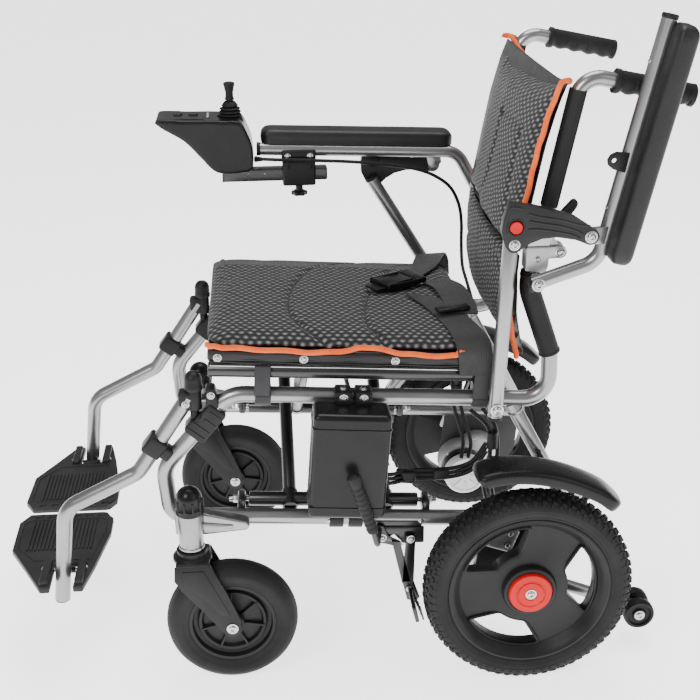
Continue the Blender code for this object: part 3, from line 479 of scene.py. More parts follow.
def swung(item, pivot, angle, end=None):
    """Turn a loose shape about an (x, z) pivot, and carry the pivot to end."""
    end = pivot if end is None else end
    return moved(item, Matrix.Translation((end[0], 0, end[1]))
                 @ Matrix.Rotation(angle, 4, "Y")
                 @ Matrix.Translation((-pivot[0], 0, -pivot[1])))


def rounded(item, width, segments=3, angle=35.0):
    """Round the sharp edges of a shape."""
    step = item.modifiers.new("round", "BEVEL")
    step.width = width
    step.segments = segments
    step.limit_method = "ANGLE"
    step.angle_limit = math.radians(angle)
    return baked(item)


def box(centre, size, tilt=0.0, bevel=0.002, segments=3):
    """A box with rounded edges, tilted about Y."""
    bpy.ops.mesh.primitive_cube_add(size=1)
    item = bpy.context.object
    item.data.transform(Matrix.Diagonal((*size, 1)))
    rounding = item.modifiers.new("round", "BEVEL")
    rounding.width = bevel
    rounding.segments = segments
    item.location = centre
    item.rotation_euler = (0, tilt, 0)
    return baked(item)


def bent(corners, radii, steps=9):
    """Points of a path whose inner corners are arcs of the given radii."""
    corners = [Vector(corner) for corner in corners]
    path = [corners[0]]
    for before, corner, after, radius in zip(corners, corners[1:], corners[2:], radii):
        inward, outward = (before - corner).normalized(), (after - corner).normalized()
        half = inward.angle(outward) / 2
        reach = radius / math.tan(half)
        centre = corner + (inward + outward).normalized() * radius / math.sin(half)
        first = (corner + inward * reach - centre).normalized()
        last = (corner + outward * reach - centre).normalized()
        path += [centre + first.slerp(last, k / steps) * radius for k in range(steps + 1)]
    return path + [corners[-1]]


def tube(points, radius, resolution=6, cyclic=False):
    """A round tube along points; it has 2 * (resolution + 2) sides."""
    curve = bpy.data.curves.new("tube", "CURVE")
    curve.dimensions = "3D"
    curve.bevel_depth = radius
    curve.bevel_resolution = resolution
    curve.use_fill_caps = not cyclic
    spline = curve.splines.new("POLY")
    spline.points.add(len(points) - 1)
    for knot, point in zip(spline.points, points):
        knot.co = (*point, 1)
    spline.use_cyclic_u = cyclic
    item = bpy.data.objects.new("tube", curve)
    bpy.context.scene.collection.objects.link(item)
    return baked(item)


def tube_xz(corners, radii, y, radius, resolution=8):
    """A tube bent in an upright plane."""
    return tube(bent([at(corner, y) for corner in corners], radii), radius, resolution)


def slab(outline, y_from, y_to, bevel=0.0015, segments=2, holes=()):
    """An (x, z) outline cut from plate between two y planes, edges rounded."""
    curve = bpy.data.curves.new("slab", "CURVE")
    curve.dimensions = "2D"
    curve.fill_mode = "BOTH"
    curve.extrude = abs(y_to - y_from) / 2
    for loop in (outline, *holes):
        spline = curve.splines.new("POLY")
        spline.points.add(len(loop) - 1)
        for knot, point in zip(spline.points, loop):
            knot.co = (point[0], point[1], 0, 1)
        spline.use_cyclic_u = True
    item = bpy.data.objects.new("slab", curve)
    bpy.context.scene.collection.objects.link(item)
    item.rotation_euler = (math.radians(90), 0, 0)
    item.location = (0, (y_from + y_to) / 2, 0)
    done = baked(item)
    return rounded(done, bevel, segments) if bevel else done


def flat(outline, z_from, z_to, bevel=0.0015, segments=2, holes=()):
    """An (x, y) outline cut from plate between two heights."""
    done = slab(outline, z_from, z_to, bevel, segments, holes)
    moved(done, Matrix(((1, 0, 0, 0), (0, 0, 1, 0), (0, 1, 0, 0), (0, 0, 0, 1))))
    done.data.flip_normals()
    return done


def lathe(profile, start, axis, steps=48):
    """Turn a (radius, distance along axis) profile about a line from start."""
    work = bmesh.new()
    knots = [work.verts.new((radius, 0, along)) for radius, along in profile]
    edges = [work.edges.new(pair) for pair in zip(knots, knots[1:])]
    bmesh.ops.spin(work, geom=knots + edges, cent=(0, 0, 0), axis=(0, 0, 1),
                   angle=2 * math.pi, steps=steps, use_merge=True)
    bmesh.ops.remove_doubles(work, verts=work.verts, dist=0.000004)
    bmesh.ops.recalc_face_normals(work, faces=work.faces)
    turned = Vector(axis).to_track_quat("Z", "Y").to_matrix().to_4x4()
    return moved(shaped(work, "lathe"), Matrix.Translation(start) @ turned)


def peg(start, end, radius, soft=0.001, steps=28, tip=None):
    """A cylinder or cone with rounded rims."""
    start, end = Vector(start), Vector(end)
    span = (end - start).length
    tip = radius if tip is None else tip
    profile = [(0, 0), (radius - soft, 0), (radius - soft * 0.3, soft * 0.3), (radius, soft),
               (tip, span - soft), (tip - soft * 0.3, span - soft * 0.3), (tip - soft, span),
               (0, span)]
    return lathe(profile, start, end - start, steps)


def ring(centre, axis, radius, thick, wide, steps=36):
    """A washer with rounded rims, centred along its axis."""
    half, soft = wide / 2, min(thick, wide) * 0.25
    profile = [(radius - thick, -half + soft), (radius - thick, half - soft),
               (radius - thick + soft, half), (radius - soft, half), (radius, half - soft),
               (radius, -half + soft), (radius - soft, -half), (radius - thick + soft, -half),
               (radius - thick, -half + soft)]
    return lathe(profile, centre, axis, steps)


def bolt(place, axis, radius, height=None, socket=True):
    """A button-head screw on a washer, with a hexagon socket."""
    height = radius * 0.6 if height is None else height
    out = Vector(axis).normalized()
    washer = peg(Vector(place), Vector(place) + out * 0.0009, radius * 1.35, 0.0003)
    profile = [(0, 0), (radius, 0), (radius * 0.98, height * 0.35), (radius * 0.8, height * 0.75),
               (radius * 0.5, height)]
    inner = radius * 0.42
    if socket:
        profile += [(inner, height), (inner, height * 0.35), (0, height * 0.35)]
    else:
        profile += [(0, height * 1.04)]
    head = lathe(profile, Vector(place) + out * 0.0009, out, 24)
    return [washer, head]


def nut(place, axis, across, height):
    """A hexagon nut."""
    return lathe([(0, 0), (across / 1.73, 0), (across / 1.73, height * 0.85),
                  (across / 1.95, height), (0, height)], place, Vector(axis).normalized(), 6)


def arc(centre, radius, start, end, steps):
    """Points on an arc in degrees, counted from +X towards +Z."""
    angles = [math.radians(start + (end - start) * k / steps) for k in range(steps + 1)]
    return [(centre[0] + radius * math.cos(a), centre[1] + radius * math.sin(a))
            for a in angles]


def smooth_path(points, per_span=6):
    """Points of a Catmull-Rom curve through the given points."""
    points = [Vector(point) for point in points]
    ends = [2 * points[0] - points[1]] + points + [2 * points[-1] - points[-2]]
    path = []
    for a, b, c, d in zip(ends, ends[1:], ends[2:], ends[3:]):
        for step in range(per_span):
            t = step / per_span
            path.append(0.5 * (2 * b + (c - a) * t + (2 * a - 5 * b + 4 * c - d) * t * t
                               + (3 * b - a - 3 * c + d) * t ** 3))
    return path + [points[-1]]


def cut(item, tools):
    """Subtract shapes from a shape."""
    for tool in tools:
        step = item.modifiers.new("cut", "BOOLEAN")
        step.operation = "DIFFERENCE"
        step.object = tool
    done = baked(item)
    for tool in tools:
        bpy.data.objects.remove(tool, do_unlink=True)
    return done


# --------------------------------------------------------------- side frame

def side_frame(name, side):
    """Bent tube, welds, clips, sleeves and screws of one side frame."""
    body = name + "_frame"
    y = side * FRAME_Y
    out = (0, side, 0)
    corners = [(0.088, lift(LOWER_Z, 0.088)), (-0.531, lift(LOWER_Z, -0.531)),
               (-0.537, 0.345), (-0.437, lift(UPPER_Z, -0.437)),
               (0.034, lift(UPPER_Z, 0.034)), (0.032, 0.504), (-0.003, 0.606), (0.002, 0.645)]
    main = tube_xz(corners, (0.026, 0.045, 0.05, 0.036, 0.05, 0.05), y, FRAME_R - 0.0006, 10)
    strut = peg((-0.022, y, 0.4290), (0.0815, y, 0.234), 0.0110)
    arm = peg((0.030, y, 0.124), (0.165, y, 0.070), 0.0100)
    tongue = slab([(0.150, 0.086), (0.146, 0.062)] + arc(ROLLER, 0.0115, 225, 420, 14),
                  side * 0.1905, side * 0.1995)
    collars = [ring((-0.022 + 0.1035 * t, y, 0.4290 - 0.195 * t), (0.1035, 0, -0.195), 0.0126,
                    0.003, 0.004) for t in (0.07, 0.90)]
    add(name + "_frame_tube", [main, strut, arm, tongue] + collars, SILVER, body,
        [name + "_side_frame"])

    plate = slab([(-0.056, 0.236), (0.080, 0.228), (0.074, 0.150), (0.045, 0.105),
                  (-0.060, 0.100), (-0.068, 0.140)], side * 0.1925, side * 0.1985, 0.0012)
    add(name + "_axle_plate", plate, GREY_PLASTIC, body, ())
    caster_head(name, side, body)
    frame_screws(name, side, body, out)

    sleeve = tube(bent([at((0.0318, 0.507), y), at((-0.003, 0.606), y), at((-0.0010, 0.634), y)],
                       (0.05,)), 0.0152, 10)
    rims = [ring(at((0.0312, 0.5085), y), (-0.03, 0, 0.1), 0.0160, 0.002, 0.004),
            ring(at((-0.0014, 0.6285), y), (0, 0, 1), 0.0160, 0.002, 0.004)]
    add(name + "_post_sleeve", [sleeve] + rims, SOFT_RUBBER, body)

    clips = []
    for x in (-0.387, -0.070):
        floor, top = lift(UPPER_Z, x) + 0.010, lift(RAIL_Z, x)
        clips.append(box((x, side * 0.199, (floor + top - 0.0125) / 2),
                         (0.023, 0.029, top - 0.0125 - floor), TILT, 0.002))
        clips.append(box((x, side * 0.2143, top - 0.011), (0.023, 0.0032, 0.046), TILT, 0.0012))
        clips.append(ring((x, y, lift(UPPER_Z, x)), (1, 0, -SLOPE), 0.0152, 0.0028, 0.023))
    add(name + "_rail_clips", clips, GREY_PLASTIC, body)

    lugs = []
    for x in (-0.4255, -0.1445):
        z = lift(PIVOT_Z, x)
        lugs.append(box((x, side * 0.174, z), (0.012, 0.034, 0.024), TILT, 0.004))
    add(name + "_pivot_lugs", lugs, BLACK_METAL, body)


def caster_head(name, side, body):
    """Head tube, its gusset and its domed cap."""
    y = side * HEAD_Y
    head = peg((HEAD_X, y, 0.229), (HEAD_X, y, 0.2925), 0.0182, 0.0015, 40)
    lips = [ring((HEAD_X, y, z), (0, 0, 1), 0.0192, 0.002, 0.004, 40) for z in (0.2315, 0.2900)]
    gusset = slab([(-0.4850, 0.2450), (-0.4180, 0.2500), (-0.4120, 0.2570), (-0.4180, 0.2650),
                   (-0.4850, 0.2830)], side * 0.2060, side * 0.2280, 0.006, 4)
    ridge = slab([(-0.4840, 0.2560), (-0.4380, 0.2560), (-0.4380, 0.2620), (-0.4840, 0.2680)],
                 side * 0.2250, side * 0.2305, 0.002, 3)
    block = box((-0.513, side * 0.212, 0.266), (0.022, 0.028, 0.040), 0, 0.004)
    add(name + "_head_tube", [head, gusset, ridge, block] + lips, SILVER, body, ())
    profile = [(0, 0.2870), (0.0200, 0.2870), (0.0212, 0.2885), (0.0212, 0.2960),
               (0.0200, 0.2975), (0.0196, 0.3100)]
    profile += [(0.0196 * math.cos(a), 0.3100 + 0.0205 * math.sin(a))
                for a in [math.radians(10 * k) for k in range(1, 9)]] + [(0, 0.3305)]
    cap = lathe(profile, (HEAD_X, y, 0), (0, 0, 1), 40)
    ribs = [box((HEAD_X + 0.0200 * math.cos(a), y + 0.0200 * math.sin(a), 0.3030),
                (0.003, 0.003, 0.016), 0, 0.0008) for a in
            [2 * math.pi * k / 10 for k in range(10)]]
    add(name + "_head_cap", [cap] + ribs, GLOSS, body)


def frame_screws(name, side, body, out):
    """Bosses and screws on the frame, and the lower half of the back hinge."""
    bosses = [peg(at(point, side * 0.2050), at(point, side * 0.2162), 0.0082)
              for point in (POST_FOOT, ARM_PIVOT)]
    bosses += [peg(at(point, side * 0.214), at(point, side * 0.2386), 0.0040)
               for point in (POST_FOOT, ARM_PIVOT)]
    heads = []
    for point in (POST_FOOT, ARM_PIVOT):
        heads += bolt(at(point, side * 0.2388), out, 0.0072)
    for x in (-0.155, -0.295, -0.420):
        heads += bolt((x, side * 0.2072, lift(LOWER_Z, x)), out, 0.0034, socket=False)
    heads += bolt((0.052, side * 0.1985, 0.1750), out, 0.0060)
    heads += bolt((-0.046, side * 0.1985, 0.2180), out, 0.0050)
    heads += bolt((0.062, side * 0.1985, 0.2200), out, 0.0050)
    for x, inward in ((-0.4255, -1), (-0.1445, 1)):
        place = (x + inward * 0.0060, side * PIVOT_Y, lift(PIVOT_Z, x))
        heads.append(nut(place, (inward, 0, -inward * SLOPE), 0.0110, 0.0070))
        heads.append(peg(place, Vector(place) + Vector((inward * 0.0130, 0, 0)), 0.0038))
        heads.append(peg((x - inward * 0.004, side * PIVOT_Y, lift(PIVOT_Z, x)),
                         (x - inward * 0.022, side * PIVOT_Y, lift(PIVOT_Z, x - inward * 0.022)),
                         0.0042))
    add(name + "_frame_screws", heads + bosses, ZINC, body)

    low, high = sorted((side * 0.181, side * 0.209))
    block = slab([(-0.0130, 0.637), (0.0165, 0.633), (0.0200, 0.645), (0.0200, 0.6722),
                  (-0.0130, 0.6722)], low, high, 0.002, 3)
    ears = [slab([(0.0185, 0.6545)] + arc(BACK_PIN, 0.0088, -80, 85, 12) + [(0.0185, 0.6715)],
                 side * near, side * far, 0.001) for near, far in
            ((0.1812, 0.1868), (0.2032, 0.2088))]
    pin = peg(at(BACK_PIN, side * 0.1800), at(BACK_PIN, side * 0.2100), 0.0036)
    add(name + "_hinge_lower", [block, pin] + ears, CAST, body)
    add(name + "_hinge_screw", bolt(at(BACK_PIN, side * 0.2088), out, 0.0062)
        + bolt(at((0.004, 0.655), side * 0.2090), out, 0.0036, socket=False), ZINC, body)


# ------------------------------------------------------------------- wheels

def drive_tyre(name, side):
    """Tyre with sidewall rings and four rows of small tread blocks."""
    centre = Vector((0, side * WHEEL_Y, DRIVE_R))
    profile = [(0.1212, -0.0190), (0.1212, 0.0190), (0.1235, 0.0215), (0.1275, 0.0235),
               (0.1285, 0.0232), (0.1300, 0.0240), (0.1360, 0.0260), (0.1375, 0.0258),
               (0.1390, 0.0265), (0.1450, 0.0258), (0.1500, 0.0225), (0.1540, 0.0160),
               (0.1555, 0.0080), (0.1558, 0.0)]
    shell = lathe([(r, t) for r, t in profile]
                  + [(r, -t) for r, t in reversed(profile[:-1]) if r > 0.12125]
                  + [(0.1212, -0.0190)], centre, (0, side, 0), 96)
    blocks = bmesh.new()
    count = 64
    rows = ((0.0045, 0.1572, 0.0078, 0.0055, 0.0), (0.0135, 0.1550, 0.0068, 0.0062, 0.45),
            (0.0205, 0.1510, 0.0060, 0.0070, 0.95))
    for row, (offset, radius, wide, long_, lean) in enumerate(rows):
        for mirror in (-1, 1):
            shift = 0.5 * (row % 2) + (0.25 if mirror > 0 else 0)
            for k in range(count):
                block = bmesh.ops.create_cube(blocks, size=1)["verts"]
                top = [v for v in block if v.co.z > 0]
                for vert in top:
                    vert.co.x *= 0.78
                    vert.co.y *= 0.82
                bmesh.ops.transform(blocks, verts=block, matrix=(
                    Matrix.Translation(centre)
                    @ Matrix.Rotation(2 * math.pi * (k + shift) / count, 4, "Y")
                    @ Matrix.Translation((0, mirror * offset, radius - 0.0008))
                    @ Matrix.Rotation(-mirror * lean, 4, "X")
                    @ Matrix.Rotation(mirror * 0.35, 4, "Z")
                    @ Matrix.Diagonal((long_ * 1.35, wide, 0.0050, 1))))
    for mirror in (-1, 1):
        for k in range(72):
            block = bmesh.ops.create_cube(blocks, size=1)["verts"]
            bmesh.ops.transform(blocks, verts=block, matrix=(
                Matrix.Translation(centre) @ Matrix.Rotation(2 * math.pi * k / 72, 4, "Y")
                @ Matrix.Translation((0, mirror * 0.0248, 0.1462))
                @ Matrix.Rotation(-mirror * 1.25, 4, "X")
                @ Matrix.Diagonal((0.0034, 0.0085, 0.0016, 1))))
    add(name + "_tread_tyre", [shell, shaped(blocks, "tread")], RUBBER, name + "_drive_wheel",
        [name + "_drive_tyre"], 30)


def window(angle, grow=0.0, steps=12):
    """Outline of one rim window with round corners, in the wheel's plane."""
    inner, outer, soft = 0.0600 + grow, 0.1015 - grow, 0.010
    points = []
    for radius, half, turn_to in ((inner, 21.0, 1), (outer, 36.0, -1)):
        spread = [half * turn_to * (2 * k / steps - 1) for k in range(steps + 1)]
        points += [Vector((radius * math.cos(math.radians(angle - a)), 0,
                           radius * math.sin(math.radians(angle - a)))) for a in spread]
    corners = [points[0], points[steps], points[steps + 1], points[-1]]
    smooth = []
    for k, point in enumerate(points):
        before, after = points[k - 1], points[(k + 1) % len(points)]
        if point in corners:
            a = point + (before - point).normalized() * soft * 0.6
            b = point + (after - point).normalized() * soft * 0.6
            smooth += [a.lerp(point, 0.0), (a + b + 2 * point) / 4, b]
        else:
            smooth.append(point)
    return [(p.x, p.z + DRIVE_R) for p in smooth]


def drive_rim(name, side):
    """Black three-window rim, rolled rim edge, hub, red cap and its screw."""
    body = name + "_drive_wheel"
    centre = Vector((0, side * WHEEL_Y, DRIVE_R))
    out = Vector((0, side, 0))
    disc = lathe([(0, -0.0120), (0.110, -0.0110), (0.110, 0.0085), (0.103, 0.0060),
                  (0.070, 0.0075), (0.050, 0.0120), (0, 0.0120)], centre, out, 96)
    tools = [slab(window(angle), side * 0.24, side * 0.30, 0) for angle in (6, 126, 246)]
    disc = rounded(cut(disc, tools), 0.0022, 3, 30)
    barrel = lathe([(0.1040, -0.0100), (0.1040, 0.0070), (0.1110, 0.0150), (0.1150, 0.0205),
                    (0.1195, 0.0228), (0.1225, 0.0222), (0.1225, 0.0190), (0.1206, 0.0180),
                    (0.1206, -0.0180), (0.1225, -0.0190), (0.1225, -0.0222), (0.1195, -0.0228),
                    (0.1150, -0.0205), (0.1110, -0.0150), (0.1040, -0.0100)], centre, out, 96)
    lips = []
    for angle in (6, 126, 246):
        outline = [Vector((p[0], side * (WHEEL_Y + 0.0085), p[1])) for p in window(angle, -0.002)]
        lips.append(tube(outline, 0.0022, 2, True))
    hub = lathe([(0, 0.0100), (0.0415, 0.0100), (0.0408, 0.0200), (0.0390, 0.0225),
                 (0.0350, 0.0235), (0.0342, 0.0220), (0, 0.0220)], centre, out, 64)
    back = lathe([(0, -0.0260), (0.0240, -0.0260), (0.0280, -0.0180), (0.0300, -0.0110),
                  (0, -0.0110)], centre, out, 48)
    add(name + "_wheel_rim", [disc, barrel, hub, back] + lips, PLASTIC, body,
        [name + "_drive_rim"], 32)
    cap = lathe([(0, 0.0215), (0.0328, 0.0215), (0.0328, 0.0262), (0.0312, 0.0285),
                 (0.0225, 0.0290), (0.0215, 0.0278), (0.0200, 0.0278), (0.0190, 0.0295),
                 (0.0110, 0.0298), (0.0100, 0.0288), (0, 0.0288)], centre, out, 64)
    add(name + "_hub_cap", cap, RED, body)
    shaft = peg(centre - out * 0.102, centre - out * 0.020, 0.0084)
    add(name + "_hub_screw", [shaft] + bolt(centre + out * 0.0285, out, 0.0062, 0.0030), ZINC,
        body)


def caster(name, side):
    """Smooth caster tyre and ribbed hub."""
    body = name + "_caster"
    centre = Vector((CASTER_X, side * HEAD_Y, CASTER_R))
    out = Vector((0, side, 0))
    half = [(0.0662, 0.0165), (0.0700, 0.0195), (0.0735, 0.0200), (0.0745, 0.0208),
            (0.0790, 0.0228), (0.0860, 0.0232), (0.0875, 0.0226), (0.0935, 0.0190),
            (0.0975, 0.0125), (0.0992, 0.0060)]
    crown = [(0.0998, 0.0025), (0.0985, 0.0012), (0.0985, -0.0012), (0.0998, -0.0025)]
    profile = half + crown + mirrored(half)[len(half):] + half[:1]
    add(name + "_caster_tread", lathe(profile, centre, out, 80), RUBBER, body,
        [name + "_caster_tyre"])
    face = [(0.0056, 0.0222), (0.0140, 0.0222), (0.0175, 0.0200), (0.0185, 0.0070),
            (0.0440, 0.0050), (0.0470, 0.0105), (0.0510, 0.0110), (0.0530, 0.0060),
            (0.0590, 0.0080), (0.0610, 0.0160), (0.0658, 0.0165)]
    hub = lathe(mirrored(face) + face[:1], centre, out, 64)
    ribs = []
    for k in range(7):
        rib = box((0.0325, 0, 0), (0.034, 0.024, 0.0036), 0, 0.0010, 2)
        ribs.append(moved(rib, Matrix.Translation(centre)
                          @ Matrix.Rotation(2 * math.pi * k / 7 + 0.2, 4, "Y")))
    add(name + "_caster_wheel_hub", [hub] + ribs, PLASTIC, body, [name + "_caster_hub"])


def caster_fork(name, side):
    """Fork with two pressed arms, crown and axle nuts."""
    body = name + "_fork"
    y = side * HEAD_Y
    outline = [(-0.5265, 0.2100), (-0.4740, 0.2120), (-0.4520, 0.1640), (-0.4320, 0.1120)]
    outline += arc((-0.446, 0.100), 0.0150, 30, -150, 10)
    outline += [(-0.4860, 0.1300), (-0.5180, 0.1700), (-0.5280, 0.1880)]
    arms = [slab(outline, y + sign * 0.0256, y + sign * 0.0303, 0.0014) for sign in (-1, 1)]
    ridge = [(-0.5160, 0.2040), (-0.4840, 0.2040), (-0.4640, 0.1600), (-0.4480, 0.1240),
             (-0.4600, 0.1240), (-0.4820, 0.1520), (-0.5140, 0.1800)]
    arms += [slab(ridge, y + sign * 0.0300, y + sign * 0.0315, 0.0007) for sign in (-1, 1)]
    crown = box((HEAD_X + 0.001, y, 0.2115), (0.0500, 0.0600, 0.0095), 0, 0.004)
    collar = lathe([(0, 0.2105), (0.0290, 0.2105), (0.0290, 0.2150), (0.0250, 0.2190),
                    (0.0225, 0.2200), (0.0225, 0.2265), (0.0210, 0.2275), (0, 0.2275)],
                   (HEAD_X, y, 0), (0, 0, 1), 48)
    add(name + "_fork_arms", arms + [crown, collar], PLASTIC, body, [name + "_caster_fork"])
    screws = [peg((CASTER_X, y - 0.031, CASTER_R), (CASTER_X, y + 0.031, CASTER_R), 0.0050)]
    for sign in (-1, 1):
        screws += bolt((CASTER_X, y + sign * 0.0305, CASTER_R), (0, sign, 0), 0.0066, 0.0026)
        screws.append(peg((CASTER_X, y + sign * 0.0226, CASTER_R),
                          (CASTER_X, y + sign * 0.0257, CASTER_R), 0.0085))
    add(name + "_fork_axle", screws, ZINC, body)


def tip_wheels(name, side):
    """Anti-tip rollers."""
    body = name + "_rollers"
    out = Vector((0, side, 0))
    half = [(0, 0.0075), (0.0100, 0.0078), (0.0115, 0.0050), (0.0175, 0.0050),
            (0.0190, 0.0082), (0.0225, 0.0085), (0.0243, 0.0060), (0.0247, 0.0)]
    profile = half + mirrored(half)[len(half) + 1:]
    rollers = [lathe(profile, at(ROLLER, side * y), out, 48) for y in (0.1795, 0.2105)]
    add(name + "_tip_wheels", rollers, SOFT_RUBBER, body, [name + "_tip_rollers"])
    screws = [peg(at(ROLLER, side * 0.171), at(ROLLER, side * 0.2185), 0.0041)]
    screws += bolt(at(ROLLER, side * 0.2180), out, 0.0062, 0.0024)
    screws += bolt(at(ROLLER, side * 0.1720), -out, 0.0062, 0.0020)
    add(name + "_tip_axle", screws, ZINC, body)


def motor(name, side):
    """Gearbox, black can and the ribbed end cap."""
    body = name + "_frame"
    axle, out = (0.0, DRIVE_R), Vector((0, side, 0))
    low, high = side * 0.1515, side * 0.1915
    gears = [peg(at(axle, low), at(axle, high), 0.0340, 0.004, 56),
             peg(at(MOTOR, low), at(MOTOR, high), 0.0410, 0.004, 56),
             ring(at(MOTOR, side * 0.153), out, 0.0425, 0.006, 0.005, 56)]
    for k in range(8):
        spot = Vector(MOTOR) + Vector((math.cos(k * 0.785), math.sin(k * 0.785))) * 0.0375
        gears += bolt(at(spot, side * 0.1512), -out, 0.0028, socket=False)
    add(name + "_gearbox", gears, CAST, body, [name + "_drive_motor"])
    can = lathe([(0, 0), (0.0362, 0), (0.0370, 0.001), (0.0370, 0.0230), (0, 0.0230)],
                at(MOTOR, side * 0.1265), out, 64)
    add(name + "_motor_can", can, GLOSS, body)
    cap = lathe([(0, 0.0), (0.0090, 0.0), (0.0100, 0.0012), (0.0290, 0.0012), (0.0300, 0.0),
                 (0.0335, 0.0), (0.0355, 0.0030), (0.0372, 0.0050), (0.0372, 0.0125),
                 (0.0378, 0.0130), (0.0378, 0.0150), (0, 0.0150)],
                at(MOTOR, side * 0.1135), out, 64)
    ribs = []
    for k in range(8):
        rib = box((0.0195, 0, 0), (0.0210, 0.0022, 0.0018), 0, 0.0004, 2)
        ribs.append(moved(rib, Matrix.Translation(at(MOTOR, side * 0.1142))
                          @ Matrix.Rotation(math.pi * k / 4, 4, "Y")))
    add(name + "_motor_cap", [cap] + ribs, CAST_PALE, body)


def fender(name, side):
    """Pressed guard with turned-down sides, and its stay."""
    body = name + "_frame"
    spine = smooth_path([(-0.087, 0, 0.3515), (-0.078, 0, 0.3600), (-0.050, 0, 0.3660),
                         (-0.015, 0, 0.3662), (0.020, 0, 0.3605), (0.0484, 0, 0.3520),
                         (0.080, 0, 0.3385), (0.1066, 0, 0.3235), (0.129, 0, 0.3030)], 5)
    section = [(-0.0290, -0.0200), (-0.0292, -0.0080), (-0.0275, -0.0032), (-0.0230, -0.0008),
               (-0.0120, 0.0), (0.0, 0.0006), (0.0120, 0.0), (0.0230, -0.0008),
               (0.0275, -0.0032), (0.0292, -0.0080), (0.0290, -0.0200)]
    work = bmesh.new()
    loops = []
    last = len(spine) - 1
    for k, point in enumerate(spine):
        ahead = (spine[min(k + 1, last)] - spine[max(k - 1, 0)]).normalized()
        normal = Vector((-ahead.z, 0, ahead.x))
        end = min(k, last - k) / 4
        narrow = 1.0 if end >= 1 else 0.72 + 0.28 * math.sqrt(max(0.0, 1 - (1 - end) ** 2))
        loops.append([work.verts.new(point + Vector((0, side * 0.2692 + v * narrow, 0))
                                     + normal * w * (0.55 + 0.45 * narrow))
                      for v, w in section])
    for one, two in zip(loops, loops[1:]):
        for k in range(len(section) - 1):
            work.faces.new((one[k], one[k + 1], two[k + 1], two[k]))
    bmesh.ops.recalc_face_normals(work, faces=work.faces)
    guard = shaped(work, "guard")
    thick = guard.modifiers.new("wall", "SOLIDIFY")
    thick.thickness = 0.0022
    thick.offset = 0
    soft = guard.modifiers.new("soft", "SUBSURF")
    soft.levels = soft.render_levels = 1
    guard = baked(guard)
    housing = [box((-0.0330, side * 0.2052, 0.2050), (0.0560, 0.0100, 0.0420), 0.35, 0.0050, 4)]
    add(name + "_gear_housing", housing, CAST, body)
    screws = []
    for x, z in ((-0.052, 0.219), (-0.052, 0.198), (-0.016, 0.212), (-0.020, 0.192)):
        screws += bolt((x, side * 0.2100, z), (0, side, 0), 0.0044)
    add(name + "_gear_screws", screws, ZINC, body)
    stay = peg((0.0196, side * 0.2067, 0.3500), (0.0196, side * 0.2430, 0.3500), 0.0058)
    add(name + "_guard", [guard, stay], GLOSS, body, [name + "_fender"], 60)


CAST_PALE = painted("motor_cap_paint", (0.66, 0.66, 0.66), (0.74, 0.74, 0.74), 0.15, 0.35, 0.45)


# -------------------------------------------------------------- cross brace

def brace_leg(name, side, leg_x, node):
    """Pivot tube, two legs and the seat rail of one half of the cross."""
    body = "cross_" + name
    low, high = (side * PIVOT_Y, PIVOT_Z), (-side * RAIL_Y, RAIL_Z)

    def on(line, x):
        return Vector((x, line[0], lift(line[1], x)))

    middle_line = (0.0, PIVOT_Z + (RAIL_Z - PIVOT_Z) * PIVOT_Y / (PIVOT_Y + RAIL_Y))
    parts = [peg(on(low, -0.4145), on(low, -0.1555), PIVOT_R, 0.0012),
             peg(on(high, -0.464), on(high, -0.060), RAIL_R - 0.0005, 0.0015)]
    parts += [peg(on(low, x), on(high, x), LEG_R, 0.001) for x in leg_x]
    parts += [ring(on(low, x), on(high, x) - on(low, x), 0.0122, 0.003, 0.028) for x in leg_x]
    add("brace_" + name, parts, BLACK_METAL, body, [node])
    # A thin zinc strip along the outer top of the black seat rail: a painted highlight that stands
    # for the light on the rail's top.
    highlight_strip = [box(on(high, -0.262) + Vector((0, -side * 0.0062, 0.0092)), (0.398, 0.0075, 0.0022),
                 TILT, 0.0008)]
    nuts = []
    for x in leg_x:
        nuts += bolt(on(middle_line, x) + Vector((-0.0100, 0, 0)),
                     (-1, 0, SLOPE), 0.0060)
    add("rail_top_highlight_" + name, highlight_strip, ZINC, body)
    add("brace_screws_" + name, nuts, ZINC, body)


# ----------------------------------------------------- hangers and footplates

